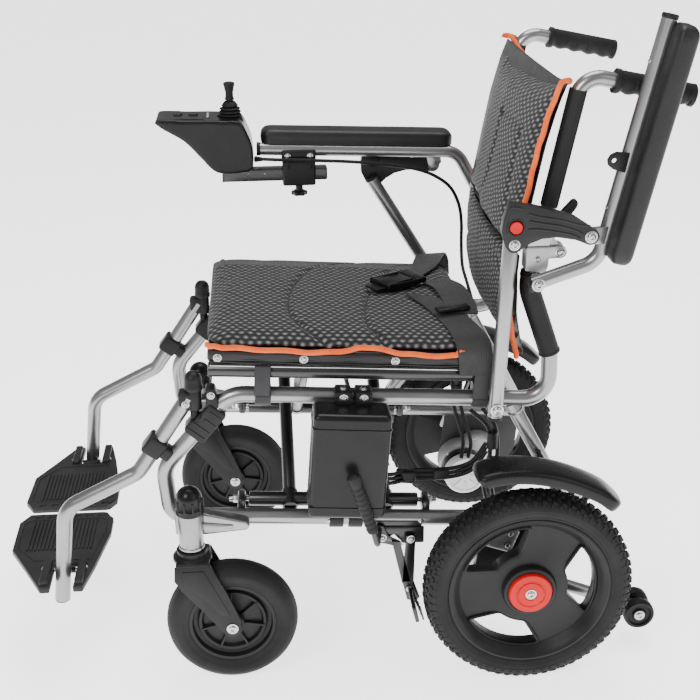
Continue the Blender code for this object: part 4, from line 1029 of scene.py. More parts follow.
def hanger(name, side):
    """Leg-rest tube, its catch and knuckle, and the frame's bracket."""
    y = side * FRAME_Y
    out = (0, side, 0)
    pipe = tube_xz([(-0.4935, 0.4590), (-0.5750, 0.3385), (-0.6870, 0.2830), (-0.7055, 0.1270)],
                   (0.03, 0.04), y, 0.0118, 10)
    add(name + "_leg_tube", [pipe], SILVER, name + "_hanger", [name + "_hanger_tube"])
    flap = side * 0.174
    catch = box((-0.5475, y, 0.3830), (0.030, 0.0290, 0.0300), math.radians(38), 0.004)
    hook = box((-0.5330, y, 0.3720), (0.022, 0.0240, 0.0200), math.radians(38), 0.004)
    knuckle = peg((SWING_X, y, 0.4398), (SWING_X, y, 0.4692), 0.0112)
    casting = box((-0.4980, y, 0.4545), (0.0220, 0.0226, 0.0285), 0, 0.0045, 4)
    barrel = peg((-0.7155, flap, 0.165), (-0.6845, flap, 0.165), 0.0064)
    web = box((-0.7005, side * 0.181, 0.165), (0.018, 0.014, 0.0090), 0, 0.0015)
    plug = peg((-0.7054, y, 0.1285), (-0.7056, y, 0.1245), 0.0112)
    add(name + "_leg_fittings", [catch, hook, knuckle, casting, barrel, web, plug], PLASTIC,
        name + "_hanger")
    screws = [peg((-0.7275, flap, 0.165), (-0.6715, flap, 0.165), 0.0036)]
    screws += bolt((-0.4985, side * (FRAME_Y + 0.0112), 0.4510), out, 0.0042)
    add(name + "_leg_screws", screws, ZINC, name + "_hanger")

    run = Vector((0.100, 0.1155)).normalized()
    across = Vector((-run.y, run.x))
    base = Vector((-0.4705, 0.4217))

    def spot(along, off):
        return base + run * along + across * off

    clamp = slab([spot(-0.030, 0.0165), spot(-0.026, 0.0185), spot(-0.012, 0.0185),
                  spot(-0.008, 0.0145), spot(0.026, 0.0140), spot(0.028, -0.0150),
                  spot(0.022, -0.0175), spot(-0.026, -0.0175), spot(-0.031, -0.0150)],
                 y - 0.0143, y + 0.0143, 0.0028, 3)
    clamp = cut(clamp, [peg((SWING_X, y - side * 0.0005, 0.4700),
                            (SWING_X, y + side * 0.0885, 0.3385), FRAME_R + 0.0012)])
    wing = slab([(-0.4690, 0.4745), (-0.4560, 0.4745), (-0.4490, 0.4480), (-0.4440, 0.4400),
                 (-0.4690, 0.4400), (-0.4695, 0.4560)], y - 0.0120, y + 0.0120, 0.0030, 3)
    ribs = [slab([spot(a, top), spot(a + 0.0025, top), spot(a + 0.0025, -0.0140),
                  spot(a, -0.0140)], side * (FRAME_Y + 0.0136), side * (FRAME_Y + 0.0156), 0.0006)
            for a, top in ((-0.024, 0.0150), (-0.012, 0.0150), (0.002, 0.0060),
                           (0.016, 0.0060))]
    boss = peg((SWING_X, y, 0.4120), (SWING_X, y, 0.4388), 0.0066)
    cap = lathe([(0, 0.4697), (0.0128, 0.4697), (0.0134, 0.4710), (0.0134, 0.4760),
                 (0.0128, 0.4772), (0.0128, 0.4870), (0.0112, 0.4925), (0.0072, 0.4968),
                 (0, 0.4983)], (SWING_X, y, 0), (0, 0, 1), 40)
    add(name + "_leg_bracket", [clamp, wing, boss, cap] + ribs, PLASTIC, name + "_frame",
        [name + "_hanger_bracket"])
    screws = [peg((SWING_X, y, 0.434), (SWING_X, y, 0.471), 0.0048)]
    screws += bolt((-0.4615, side * (FRAME_Y + 0.0120), 0.4640), out, 0.0042)
    add(name + "_leg_bracket_screws", screws, ZINC, name + "_frame")


def footplate(name, side):
    """Ribbed tread with slots, hinge blocks and hinge pin seats."""
    body = name + "_footrest"
    half = [(-0.779, 0.0100), (-0.657, 0.0100), (-0.641, 0.030), (-0.641, 0.075),
            (-0.656, 0.172), (-0.668, 0.231), (-0.6825, 0.231), (-0.6825, 0.1650),
            (-0.7175, 0.1650), (-0.7175, 0.231), (-0.732, 0.231), (-0.762, 0.172),
            (-0.791, 0.118), (-0.793, 0.034)]
    slots = []
    for k in range(6):
        x = -0.768 + 0.0205 * k
        slots.append([(x, side * 0.016), (x + 0.010, side * 0.016), (x + 0.010, side * 0.0245),
                      (x, side * 0.0245)])
    plate = flat([(x, side * y) for x, y in half], 0.1590, 0.1698, 0.0025, 3, slots)
    frame_rim = [(x * 1.0, side * y) for x, y in
                 [(-0.776, 0.030), (-0.659, 0.030), (-0.650, 0.040), (-0.650, 0.075),
                  (-0.664, 0.155), (-0.750, 0.155), (-0.783, 0.112), (-0.785, 0.040)]]
    rim = tube([Vector((x, y, 0.1697)) for x, y in frame_rim], 0.0016, 2, True)
    ribs = []
    for k in range(17):
        x = -0.7670 + 0.0062 * k
        ribs.append(box((x, side * 0.080, 0.1703), (0.0032, 0.090, 0.0036), 0, 0.0011, 2))
    blocks = [box((x, side * 0.1935, 0.1690), (0.0130, 0.062, 0.0150), 0, 0.0030, 4)
              for x in (-0.7270, -0.6745)]
    add(name + "_tread_plate", [plate, rim] + ribs + blocks, GREY_TREAD, body,
        [name + "_footplate"])
    screws = []
    for x, sign in ((-0.7335, -1), (-0.6680, 1)):
        screws += bolt((x, side * 0.178, 0.1690), (sign, 0, 0), 0.0032)
    add(name + "_tread_screws", screws, ZINC, body)


GREY_TREAD = moulded("tread_plastic", (0.020, 0.020, 0.021), (0.032, 0.032, 0.033), 0.42, 0.58)


# ----------------------------------------------------------------- armrests

def armrest(name, side, lifted):
    """Armrest tube with its lugs, the pad, and the post."""
    y = side * ARM_Y
    body = name + "_armrest"
    swing = ARM_SWING if lifted else 0.0
    pipe = tube_xz([turn(Vector((0.0, 0.6160)), ARM_PIVOT, math.radians(-29)),
                    (-0.0430, 0.7050), (-0.3800, 0.7183)], (0.036,), y, ARM_R - 0.0003, 10)
    lug = slab([(-0.071, 0.7045), (-0.068, 0.686)] + arc(ARM_LUG, 0.0085, 10, -190, 12)
               + [(-0.096, 0.7045)], side * 0.2310, side * 0.2387, 0.0012)
    tab = slab([(-0.200, 0.7085), (-0.1985, 0.6900), (-0.1935, 0.6825), (-0.1860, 0.6800),
                (-0.1790, 0.6825), (-0.1745, 0.6900), (-0.1720, 0.7085)],
               side * 0.2330, side * 0.2387, 0.0016)
    tab = cut(tab, [peg((-0.1862, side * 0.225, 0.6895), (-0.1862, side * 0.245, 0.6895),
                        0.0036)])
    add(name + "_arm_tube", swung(joined([pipe, lug]), ARM_PIVOT, swing), SILVER, body,
        [name + "_armrest_tube"])
    plug = peg((-0.3770, y, 0.7182), (-0.3835, y, 0.7184), ARM_R + 0.0004, 0.0015)
    foot = turn(Vector((0.0, 0.6160)), ARM_PIVOT, math.radians(-29))
    heel = peg(at(foot + Vector((-0.0015, 0.004)), y), at(foot + Vector((0.0015, -0.0035)), y),
               ARM_R + 0.0004, 0.0015)
    add(name + "_arm_plugs", swung(joined([plug, heel, tab]), ARM_PIVOT, swing), PLASTIC, body)
    screws = bolt(at(ARM_LUG, side * 0.2532), (0, side, 0), 0.0062)
    screws.append(peg(at(ARM_LUG, side * 0.235), at(ARM_LUG, side * 0.2536), 0.0038))
    for x in (-0.120, -0.320):
        screws += bolt((x, y, 0.6975 + 0.039 * (-0.05 - x)), (0, 0, -1), 0.0042, socket=False)
    add(name + "_arm_screws", swung(joined(screws), ARM_PIVOT, swing), ZINC, body)
    arm_pad(name, side, swing)

    reach = (POST_HEAD - POST_FOOT).normalized()
    angle = POST_SWING if lifted else 0.0
    low, high = POST_FOOT - reach * 0.015, POST_HEAD + reach * 0.010
    post = peg(at(low, y), at(high, y), ARM_R - 0.0003, 0.0015, 40)
    add(name + "_arm_post_tube", swung(post, POST_FOOT, angle), SILVER, name + "_arm_post",
        [name + "_armrest_post"])
    ends = [peg(at(POST_FOOT - reach * 0.0135, y), at(POST_FOOT - reach * 0.0185, y),
                ARM_R + 0.0002, 0.0014),
            peg(at(POST_HEAD + reach * 0.0085, y), at(POST_HEAD + reach * 0.0135, y),
                ARM_R + 0.0002, 0.0014)]
    add(name + "_arm_post_plugs", swung(joined(ends), POST_FOOT, angle), PLASTIC,
        name + "_arm_post")


def arm_pad(name, side, swing):
    """Moulded arm pad: crowned top, rounded ends, parting groove."""
    length, wide, tall = 0.328, 0.054, 0.0300
    loops = []
    steps, around = 40, 28
    for k in range(steps + 1):
        t = 2 * k / steps - 1
        end = math.sqrt(max(0.0, 1 - max(0.0, (abs(t) - 0.90) / 0.10) ** 2))
        half, rise = wide / 2 * (0.60 + 0.40 * end), tall / 2 * (0.55 + 0.45 * end)
        loop = []
        for n in range(around):
            a = 2 * math.pi * n / around
            c, s = math.cos(a), math.sin(a)
            across = half * math.copysign(abs(c) ** 0.42, c)
            up = rise * math.copysign(abs(s) ** 0.50, s)
            if s > 0:
                up += 0.0012 * (1 - (across / half) ** 2) * end
            if -0.30 < s < -0.10:
                across *= 0.972
            loop.append(Vector((length / 2 * t, across, up)))
        loops.append(loop)
    pad = lofted(loops)
    smooth = pad.modifiers.new("smooth", "SUBSURF")
    smooth.levels = smooth.render_levels = 1
    pad = moved(baked(pad), Matrix.Translation((-0.2130, side * 0.2460, 0.7302))
                @ Matrix.Rotation(math.radians(2.25), 4, "Y"))
    pad = add(name + "_arm_pad", swung(pad, ARM_PIVOT, swing), VINYL, name + "_armrest",
              [name + "_armrest_pad"], 60)


def bracket(name, side, lifted):
    """Moulded link with raised ribs, and the red button in its well."""
    head = POST_HEAD_UP
    outline = ([(-0.0087, 0.0593), (0.026, 0.0533), (0.0621, 0.0435), (0.0812, 0.0372)]
               + arc((0.105, 0.0082), 0.0115, 75, -110, 12)
               + [(0.0838, 0.0045), (0.0578, 0.0090), (0.0376, 0.0075), (0.0217, 0.0015)]
               + arc((0.0, 0.0), 0.0115, -35, -165, 9)
               + [(-0.0159, 0.0105), (-0.0185, 0.020), (-0.0160, 0.0375)])
    spots = [head + Vector(point) for point in outline]
    body = slab(spots, side * BRACKET_IN, side * BRACKET_OUT, 0.0020, 3)
    lug, button_at = head + Vector((0.105, 0.0082)), head + Vector((0.0012, 0.0245))
    body = cut(body, [peg(at(button_at, side * (BRACKET_IN + 0.003)),
                          at(button_at, side * 0.26), 0.0100, 0.0002, 40)])
    face = side * (BRACKET_OUT - 0.0004)
    ridges = []
    for points in (((0.0180, 0.0430), (0.0300, 0.0390), (0.0620, 0.0330), (0.0860, 0.0260),
                    (0.1020, 0.0235)),
                   ((0.0190, 0.0330), (0.0320, 0.0300), (0.0600, 0.0250), (0.0800, 0.0190),
                    (0.0930, 0.0125)),
                   ((0.0180, 0.0210), (0.0320, 0.0210), (0.0560, 0.0170), (0.0780, 0.0120),
                    (0.0900, 0.0060)),
                   ((-0.0125, 0.0160), (-0.0140, 0.0230), (-0.0125, 0.0360), (-0.0070, 0.0520),
                    (0.0100, 0.0505))):
        path = smooth_path([at(head + Vector(point), face) for point in points], 4)
        ridges.append(tube(path, 0.0019, 3))
    ridges.append(ring(at(button_at, side * BRACKET_OUT), (0, side, 0), 0.0124, 0.0022, 0.0020))
    button = [lathe([(0, -0.0050), (0.0088, -0.0050), (0.0088, 0.0012), (0.0078, 0.0024),
                     (0.0040, 0.0021), (0, 0.0019)], at(button_at, side * 0.2531),
                    (0, side, 0), 40)]
    screws = bolt(at(head, side * BRACKET_OUT), (0, side, 0), 0.0058)
    screws.append(peg(at(lug, side * BRACKET_OUT), at(lug, side * 0.2532), 0.0088, 0.0003))
    pieces = [joined([body] + ridges), joined(button), joined(screws)]
    if not lifted:
        pieces = [swung(piece, head, -BRACKET_SWING, POST_HEAD) for piece in pieces]
    add(name + "_arm_bracket", pieces[0], BRACKET, name + "_arm_link",
        [name + "_armrest_bracket"])
    add(name + "_arm_button", pieces[1], RED, name + "_button", [name + "_release_button"])
    add(name + "_arm_bracket_screws", pieces[2], ZINC, name + "_arm_link")


BRACKET = moulded("bracket_plastic", (0.013, 0.013, 0.0135), (0.022, 0.022, 0.0225), 0.38, 0.5)


# --------------------------------------------------------------- upper back

def on_handle(x):
    """The point of the handle tube's centre line at x."""
    return Vector((x, HANDLE_BEND.y + HANDLE_FALL * (x - HANDLE_BEND.x)))


def upper_back(name, side):
    """Folding post, hinge leaf, sleeve, grip and latch lever."""
    y = side * FRAME_Y
    body = name + "_upper_back"
    post = tube_xz([(0.0100, 0.684), HANDLE_BEND, on_handle(0.1100)], (0.030,), y, 0.0108, 10)
    low, high = sorted((side * 0.1815, side * 0.2085))
    leaf = slab([(-0.0115, 0.6730), (0.0205, 0.6730), (0.0250, 0.6860), (0.0250, 0.7000),
                 (-0.0060, 0.7000)], low, high, 0.002, 3)
    knuckle = slab([(0.0200, 0.6800), (0.0215, 0.6732)] + arc(BACK_PIN, 0.0080, 200, 450, 14)
                   + [(0.0240, 0.6860)], side * 0.1874, side * 0.2026, 0.001)
    collar = ring((0.0112, y, 0.7045), (0.04, 0, 0.22), 0.0135, 0.003, 0.009)
    add(name + "_upper_tube", [post], SILVER, body, [name + "_back_post"])
    add(name + "_hinge_upper", [leaf, knuckle, collar], CAST, body)
    add(name + "_upper_screw", bolt((0.006, side * 0.2085, 0.6880), (0, side, 0), 0.0040),
        ZINC, body)
    run = (HANDLE_BEND - Vector((0.0100, 0.684)))

    def spot(z):
        return Vector((0.0100, 0.684)) + run * ((z - 0.684) / run.y)

    sleeve = [tube([at(spot(0.728), y), at(spot(0.81), y), at(spot(0.888), y)], 0.0124, 10)]
    sleeve += [tube([at(spot(z), y) + Vector((ahead, off, 0)) for z in
                     [0.729 + 0.0158 * k for k in range(11)]], 0.0013, 3)
               for ahead, off in ((-0.0085, 0.0088), (-0.0085, -0.0088), (0.0090, -0.0085),
                                  (0.0090, 0.0085))]
    add(name + "_upper_sleeve", sleeve, SOFT_RUBBER, body)
    grip(name, y, body)
    pivot = (0.0335, 0.7045)
    lever = slab([(0.0265, 0.7035), (0.0300, 0.6985), (0.0345, 0.6980), (0.0400, 0.7020),
                  (0.0570, 0.7250), (0.0590, 0.7310), (0.0565, 0.7360), (0.0510, 0.7350),
                  (0.0380, 0.7205)], y - 0.0065, y + 0.0065, 0.0030, 4)
    ridges = [box((0.0505 - 0.004 * k, y, 0.7270 - 0.0053 * k), (0.014, 0.0105, 0.0012),
                  math.radians(-35), 0.0005) for k in range(3)]
    add(name + "_latch_lever", [lever] + ridges, PLASTIC, name + "_latch",
        [name + "_back_lever"])
    add(name + "_latch_pin", peg(at(pivot, y - 0.0085), at(pivot, y + 0.0085), 0.0022), ZINC,
        name + "_latch")


def grip(name, y, body):
    """Push grip with finger waves underneath and a collar at the front."""
    start, end = on_handle(0.0980), on_handle(0.2120)
    along = (end - start).normalized()
    up = Vector((-along.y, along.x))
    if up.y < 0:
        up = -up
    span = (end - start).length
    work = bmesh.new()
    loops = []
    steps, around = 84, 32
    for k in range(steps + 1):
        s = span * k / steps
        t = k / steps
        radius = 0.0155
        if t < 0.05:
            radius = 0.0167
        elif t > 0.955:
            radius = 0.0163 * math.sqrt(max(0.12, 1 - ((t - 0.955) / 0.045) ** 2))
        loop = []
        for n in range(around):
            a = 2 * math.pi * n / around
            under = max(0.0, -math.sin(a))
            wave = 0.0
            if 0.08 < t < 0.92:
                wave = -0.0014 * under * (1 + math.cos(2 * math.pi * (t - 0.08) / 0.21))
                wave += 0.00035 * math.sin(s * 2100) * (1 if abs(math.cos(a)) > 0.6 else 0)
            r = radius + wave
            flat_point = start + along * s + up * (r * math.sin(a))
            loop.append(work.verts.new((flat_point.x, y + r * math.cos(a), flat_point.y)))
        loops.append(loop)
    for one, two in zip(loops, loops[1:]):
        for n in range(around):
            m = (n + 1) % around
            work.faces.new((one[n], one[m], two[m], two[n]))
    for loop in (loops[0], loops[-1]):
        work.faces.new(loop)
    bmesh.ops.recalc_face_normals(work, faces=work.faces)
    mesh = bpy.data.meshes.new("grip")
    work.to_mesh(mesh)
    work.free()
    add(name + "_hand_grip", holder(mesh), SOFT_RUBBER, body, [name + "_push_grip"],
        50)


# ------------------------------------------------------------ parking brake

def brake(name, side):
    """Hand lever with its grip, and the shoe arm."""
    out = (0, side, 0)
    pin, shoe_pin = Vector((-0.2145, 0.219)), Vector((-0.171, 0.217))
    plate = slab([pin + Vector(offset) for offset in
                  ((-0.0155, 0.012), (-0.0085, -0.0085), (0.0040, -0.0110), (0.0235, -0.0175),
                   (0.0275, -0.0080), (0.0090, 0.0030), (0.0020, 0.0200), (-0.0080, 0.0220))],
                 side * 0.2114, side * 0.2154, 0.0012)
    arm = tube(bent([(-0.2190, side * 0.2135, 0.2330), (-0.2280, side * 0.2780, 0.2450),
                     (-0.2410, side * 0.2885, 0.2980)], (0.012,), 8), 0.0044, 6)
    add(name + "_brake_arm_plate", [plate, arm], BLACK_METAL, name + "_brake_hand",
        [name + "_brake_lever"])
    low, high = Vector((-0.2350, side * 0.2875, 0.2740)), Vector((-0.2655, side * 0.2890, 0.3700))
    profile, span = [(0, 0), (0.0070, 0), (0.0082, 0.0020)], (high - low).length
    for k in range(9):
        s = 0.008 + k * 0.0085
        profile += [(0.0088, s), (0.0080, s + 0.0020), (0.0080, s + 0.0045), (0.0088, s + 0.0060)]
    profile += [(0.0098, span - 0.010), (0.0094, span - 0.004), (0.0062, span - 0.0008),
                (0, span)]
    add(name + "_brake_grip", lathe(profile, low, high - low, 28), SOFT_RUBBER,
        name + "_brake_hand")
    spring = [Vector((-0.2060 + 0.024 * k / 60 + 0.0032 * math.cos(k * 0.9),
                      side * 0.2140, 0.2120 - 0.006 * k / 60 + 0.0032 * math.sin(k * 0.9)))
              for k in range(61)]
    add(name + "_brake_screws", bolt(at(pin, side * 0.2156), out, 0.0050)
        + [tube([p + Vector((0, side * 0.0010 * math.sin(k), 0)) for k, p in
                 enumerate(spring)], 0.0007, 1)], ZINC, name + "_brake_hand")

    shoe = [slab([(-0.1785, 0.2230), (-0.1640, 0.2230), (-0.1660, 0.1380), (-0.1840, 0.1380)],
                 side * 0.2158, side * 0.2198, 0.001),
            slab([(-0.2005, 0.2150), (-0.1875, 0.2130), (-0.1700, 0.1380), (-0.1840, 0.1380)],
                 side * 0.2158, side * 0.2198, 0.001),
            slab([(-0.1840, 0.1420), (-0.1660, 0.1420), (-0.1560, 0.1120), (-0.1620, 0.1060),
                  (-0.1760, 0.1080)], side * 0.2158, side * 0.2200, 0.001),
            box((-0.1700, side * 0.2480, 0.1200), (0.0060, 0.0640, 0.0260), math.radians(-14),
                0.0018)]
    shoe += [box((-0.1660 + 0.0014 * k, side * (0.2240 + 0.0120 * k), 0.1190),
                 (0.0030, 0.0060, 0.0230), math.radians(-14), 0.0008) for k in range(5)]
    add(name + "_brake_pad", shoe, BLACK_METAL, name + "_brake_arm", [name + "_brake_shoe"])
    add(name + "_brake_pad_screws", bolt(at(shoe_pin, side * 0.2198), out, 0.0050)
        + [nut((-0.1740, side * 0.2198, 0.1300), out, 0.0090, 0.0040)], ZINC,
        name + "_brake_arm")
    bracket_plate = slab([(-0.225, 0.236), (-0.150, 0.232), (-0.150, 0.205), (-0.182, 0.205),
                          (-0.196, 0.221), (-0.224, 0.206)], side * 0.2065, side * 0.2110, 0.001)
    link = box((-0.188, side * 0.2025, 0.2365), (0.070, 0.012, 0.014), TILT, 0.002)
    add(name + "_brake_mount", [bracket_plate, link], BLACK_METAL, name + "_frame")


# ------------------------------------------------------------- joystick side

def control():
    """Pod, boot, stick, keys, bar, clamp and knob."""
    outline = smooth_path([Vector((x, 0, z)) for x, z in
                           [(-0.5485, 0.7735), (-0.5400, 0.7790), (-0.4980, 0.7770),
                            (-0.4620, 0.7765), (-0.4400, 0.7750), (-0.4100, 0.7730),
                            (-0.3960, 0.7500), (-0.3895, 0.7250), (-0.3900, 0.6980),
                            (-0.3990, 0.6880), (-0.4480, 0.6880), (-0.4760, 0.7150),
                            (-0.5010, 0.7420), (-0.5330, 0.7620)]], 4)
    pod = slab([(p.x, p.z) for p in outline], ARM_Y - 0.0416, ARM_Y + 0.0416, 0.010, 4)
    skin = pod.modifiers.new("skin", "REMESH")
    skin.mode = "VOXEL"
    skin.voxel_size = 0.0024
    ease = pod.modifiers.new("ease", "SMOOTH")
    ease.factor = 0.5
    ease.iterations = 9
    pod = baked(pod)
    pivot = Vector((-0.4250, ARM_Y, 0.7780))
    wells = [peg(pivot - Vector((0, 0, 0.0195)), pivot + Vector((0, 0, 0.03)), 0.0218, 0.0002,
                 48)]
    wells += [box((x, ARM_Y, 0.7800), (0.0134, 0.0204, 0.0110), 0, 0.001)
              for x in (-0.5120, -0.4860)]
    pod = cut(pod, wells)
    seam = tube([Vector((p.x, ARM_Y - 0.0402, p.z)) for p in
                 smooth_path([Vector((-0.5380, 0, 0.7665)), Vector((-0.4980, 0, 0.7590)),
                              Vector((-0.4500, 0, 0.7520)), Vector((-0.4000, 0, 0.7460))], 4)],
                0.0007, 1)
    add("control_pod", [pod, seam], GLOSS, "control_bar", ["joystick_pod"], 45)
    panel = box((-0.4990, ARM_Y, 0.7773), (0.0620, 0.0560, 0.0022), math.radians(1), 0.0009)
    panel = cut(panel, [box((x, ARM_Y, 0.7780), (0.0150, 0.0220, 0.0200), 0, 0.001)
                        for x in (-0.5120, -0.4860)])
    lamps = [peg((-0.4620 - 0.0001 * k, ARM_Y - 0.016 + 0.008 * k, 0.7766),
                 (-0.4620 - 0.0001 * k, ARM_Y - 0.016 + 0.008 * k, 0.7782), 0.0022)
             for k in range(5)]
    add("control_panel", [panel], GREY_PLASTIC, "control_bar")
    add("control_lamps", lamps, LABEL, "control_bar")

    rings = [(0.0150, -0.0095), (0.0190, -0.0085)]
    for k in range(1, 6):
        wide, z = (0.0203, 0.0200, 0.0194, 0.0186, 0.0174, 0.0140)[k], -0.0110 + 0.0052 * k
        rings += [(wide - 0.0028, z - 0.0026), (wide, z), (wide - 0.0010, z + 0.0012)]
    rings += [(0.0090, 0.0215), (0.0066, 0.0222), (0.0064, -0.0090), (0.0150, -0.0095)]
    world_pivot = pivot + Vector((AXLE_X, 0, 0))
    tilting = ("boot", "joystick", world_pivot - Vector((0, 0, 0.006)),
               world_pivot + Vector((0, 0, 0.018)))
    add("control_boot", lathe(rings, pivot, (0, 0, 1), 56), SOFT_RUBBER, tilting,
        ["joystick_boot"])
    stick = lathe([(0, -0.0180), (0.0050, -0.0180), (0.0050, 0.0235), (0.0075, 0.0240),
                   (0.0078, 0.0265), (0.0066, 0.0290), (0.0064, 0.0360), (0.0085, 0.0460),
                   (0.0097, 0.0500), (0.0092, 0.0522), (0.0060, 0.0534), (0, 0.0536)],
                  pivot, (0, 0, 1), 48)
    add("control_stick", stick, SOFT_RUBBER, "joystick", ["joystick_stick"])
    for name, node, x in (("power", "power_key", -0.5120), ("speed", "speed_key", -0.4860)):
        key = box((x, ARM_Y, 0.7790), (0.0122, 0.0192, 0.0062), 0, 0.0016, 4)
        dots = [peg((x - 0.002 + 0.004 * k, ARM_Y, 0.7818), (x - 0.002 + 0.004 * k, ARM_Y, 0.7825),
                    0.0010, 0.0002, 16) for k in range(2)]
        add(name + "_button_cap", [key] + dots, GREY_PLASTIC, name + "_button", [node])

    bar = box((-0.3535, ARM_Y, 0.6755), (0.177, 0.0219, 0.0219), 0, 0.0028, 4)
    caps = [box((-0.4410, ARM_Y, 0.6755), (0.004, 0.0220, 0.0220), 0, 0.0015)]
    holes = [peg((x, ARM_Y - 0.02, 0.6755), (x, ARM_Y + 0.02, 0.6755), 0.0030, 0.0002, 16)
             for x in (-0.3720, -0.3980)]
    add("control_rail", [cut(bar, holes)] + caps, BLACK_METAL, "control_bar",
        ["joystick_bar"])

    x = -0.313
    upper = box((x, ARM_Y, 0.7080), (0.058, 0.0308, 0.0188), 0, 0.004, 4)
    lower = box((x, ARM_Y, 0.6780), (0.056, 0.0306, 0.0440), 0, 0.004, 4)
    shapes = [cut(upper, [tube_xz([(-0.45, 0.7210), (-0.15, 0.7092)], (), ARM_Y,
                                  ARM_R + 0.0003, 10)]),
              cut(lower, [box((x, ARM_Y, 0.6755), (0.09, 0.0226, 0.0226), 0, 0.0005),
                          peg((x, ARM_Y, 0.645), (x, ARM_Y, 0.6660), 0.0040)])]
    shapes += [box((x + s, ARM_Y - 0.0155, 0.696), (0.005, 0.0024, 0.020), 0, 0.0008)
               for s in (-0.019, 0.019)]
    add("rail_clamp", shapes, PLASTIC, "right_armrest", ["bar_clamp"])
    screws = []
    for s in (-0.019, 0.019):
        screws += bolt((x + s, ARM_Y - 0.0154, 0.7080), (0, -1, 0), 0.0038)
    add("rail_clamp_screws", screws, ZINC, "right_armrest")
    work = [lathe([(0, 0.0), (0.0100, 0.0), (0.0115, 0.0010), (0.0120, 0.0060), (0.0080, 0.0072),
                   (0.0064, 0.0085), (0.0062, 0.0170), (0, 0.0170)], (x, ARM_Y, 0.6372),
                  (0, 0, 1), 40)]
    for k in range(6):
        a = math.pi * k / 3
        work.append(peg((x + 0.0098 * math.cos(a), ARM_Y + 0.0098 * math.sin(a), 0.6374),
                        (x + 0.0098 * math.cos(a), ARM_Y + 0.0098 * math.sin(a), 0.6442),
                        0.0040, 0.0012, 20))
    add("rail_knob", work, PLASTIC, "knob", ["clamp_knob"])
    add("rail_knob_thread", peg((x, ARM_Y, 0.6530), (x, ARM_Y, 0.6640), 0.0033), ZINC, "knob")


# ------------------------------------------------------------------ battery

def battery():
    """Case with lid line, ribs and clamp blocks."""
    lean = math.radians(4.1)
    centre = Vector((-0.2667, -0.2435, 0.3695))
    case = box(centre, (0.112, 0.0568, 0.166), lean, 0.0085, 5)
    turned = Matrix.Translation(centre) @ Matrix.Rotation(lean, 4, "Y")

    def on(x, y, z):
        return turned @ Vector((x, y, z))

    lips = []
    for z, wide in ((0.0615, 0.0012), (-0.0640, 0.0010)):
        loop = [(-0.0562, -0.0286), (0.0562, -0.0286), (0.0562, 0.0286), (-0.0562, 0.0286)]
        path = bent([on(x, y, z) for x, y in loop + loop[:2]], (0.0080,) * 4, 5)
        lips.append(tube(path[:-1], wide, 2))
    add("battery_case", [case] + lips, GLOSS, "left_frame", ["battery_box"])
    blocks, screws = [], []
    for x, z in ((-0.272, 0.4655), (-0.243, 0.4637)):
        blocks.append(box((x, -0.2180, z), (0.025, 0.030, 0.0110), TILT, 0.003))
        blocks.append(box((x, -0.2255, z - 0.010), (0.025, 0.015, 0.020), TILT, 0.003))
        blocks.append(ring((x, -FRAME_Y, lift(UPPER_Z, x)), (1, 0, -SLOPE), 0.0160, 0.0033,
                           0.0210))
        screws += bolt((x, -0.2325, z - 0.0020), (0, -1, 0), 0.0046)
        screws += bolt((x, -0.2180, z + 0.0055), (0, 0, 1), 0.0040)
    for x, z in ((-0.283, 0.2760), (-0.254, 0.2745)):
        blocks.append(box((x, -0.2180, z), (0.025, 0.030, 0.0100), TILT, 0.003))
        blocks.append(box((x, -0.2255, z + 0.010), (0.025, 0.015, 0.020), TILT, 0.003))
        screws += bolt((x, -0.2325, z + 0.0010), (0, -1, 0), 0.0042)
        blocks.append(ring((x, -FRAME_Y, lift(LOWER_Z, x)), (1, 0, -SLOPE), 0.0160, 0.0033,
                           0.0210))
        blocks += [box((x - 0.0094 + 0.0047 * k, -0.2336, z + 0.008), (0.0022, 0.0030, 0.0210),
                       TILT, 0.0008) for k in range(5)]
    add("battery_clamps", blocks, PLASTIC, "left_frame")
    add("battery_screws", screws, ZINC, "left_frame")


# ------------------------------------------------------------------- cables

CABLE_ROUTE = [(-0.3868, 0.2150, 0.7040), (-0.3740, 0.2105, 0.7045), (-0.3520, 0.2065, 0.7040),
               (-0.3130, 0.2055, 0.7025), (-0.2700, 0.2065, 0.7000), (-0.2200, 0.2090, 0.6960),
               (-0.1700, 0.2110, 0.6900), (-0.1200, 0.2118, 0.6815), (-0.0850, 0.2118, 0.6690),
               (-0.0560, 0.2118, 0.6480), (-0.0400, 0.2118, 0.6180), (-0.0340, 0.2118, 0.5850),
               (-0.0330, 0.2118, 0.5450), (-0.0300, 0.2118, 0.5050), (-0.0200, 0.2118, 0.4700),
               (-0.0100, 0.2118, 0.4350), (-0.0080, 0.2118, 0.4050)]


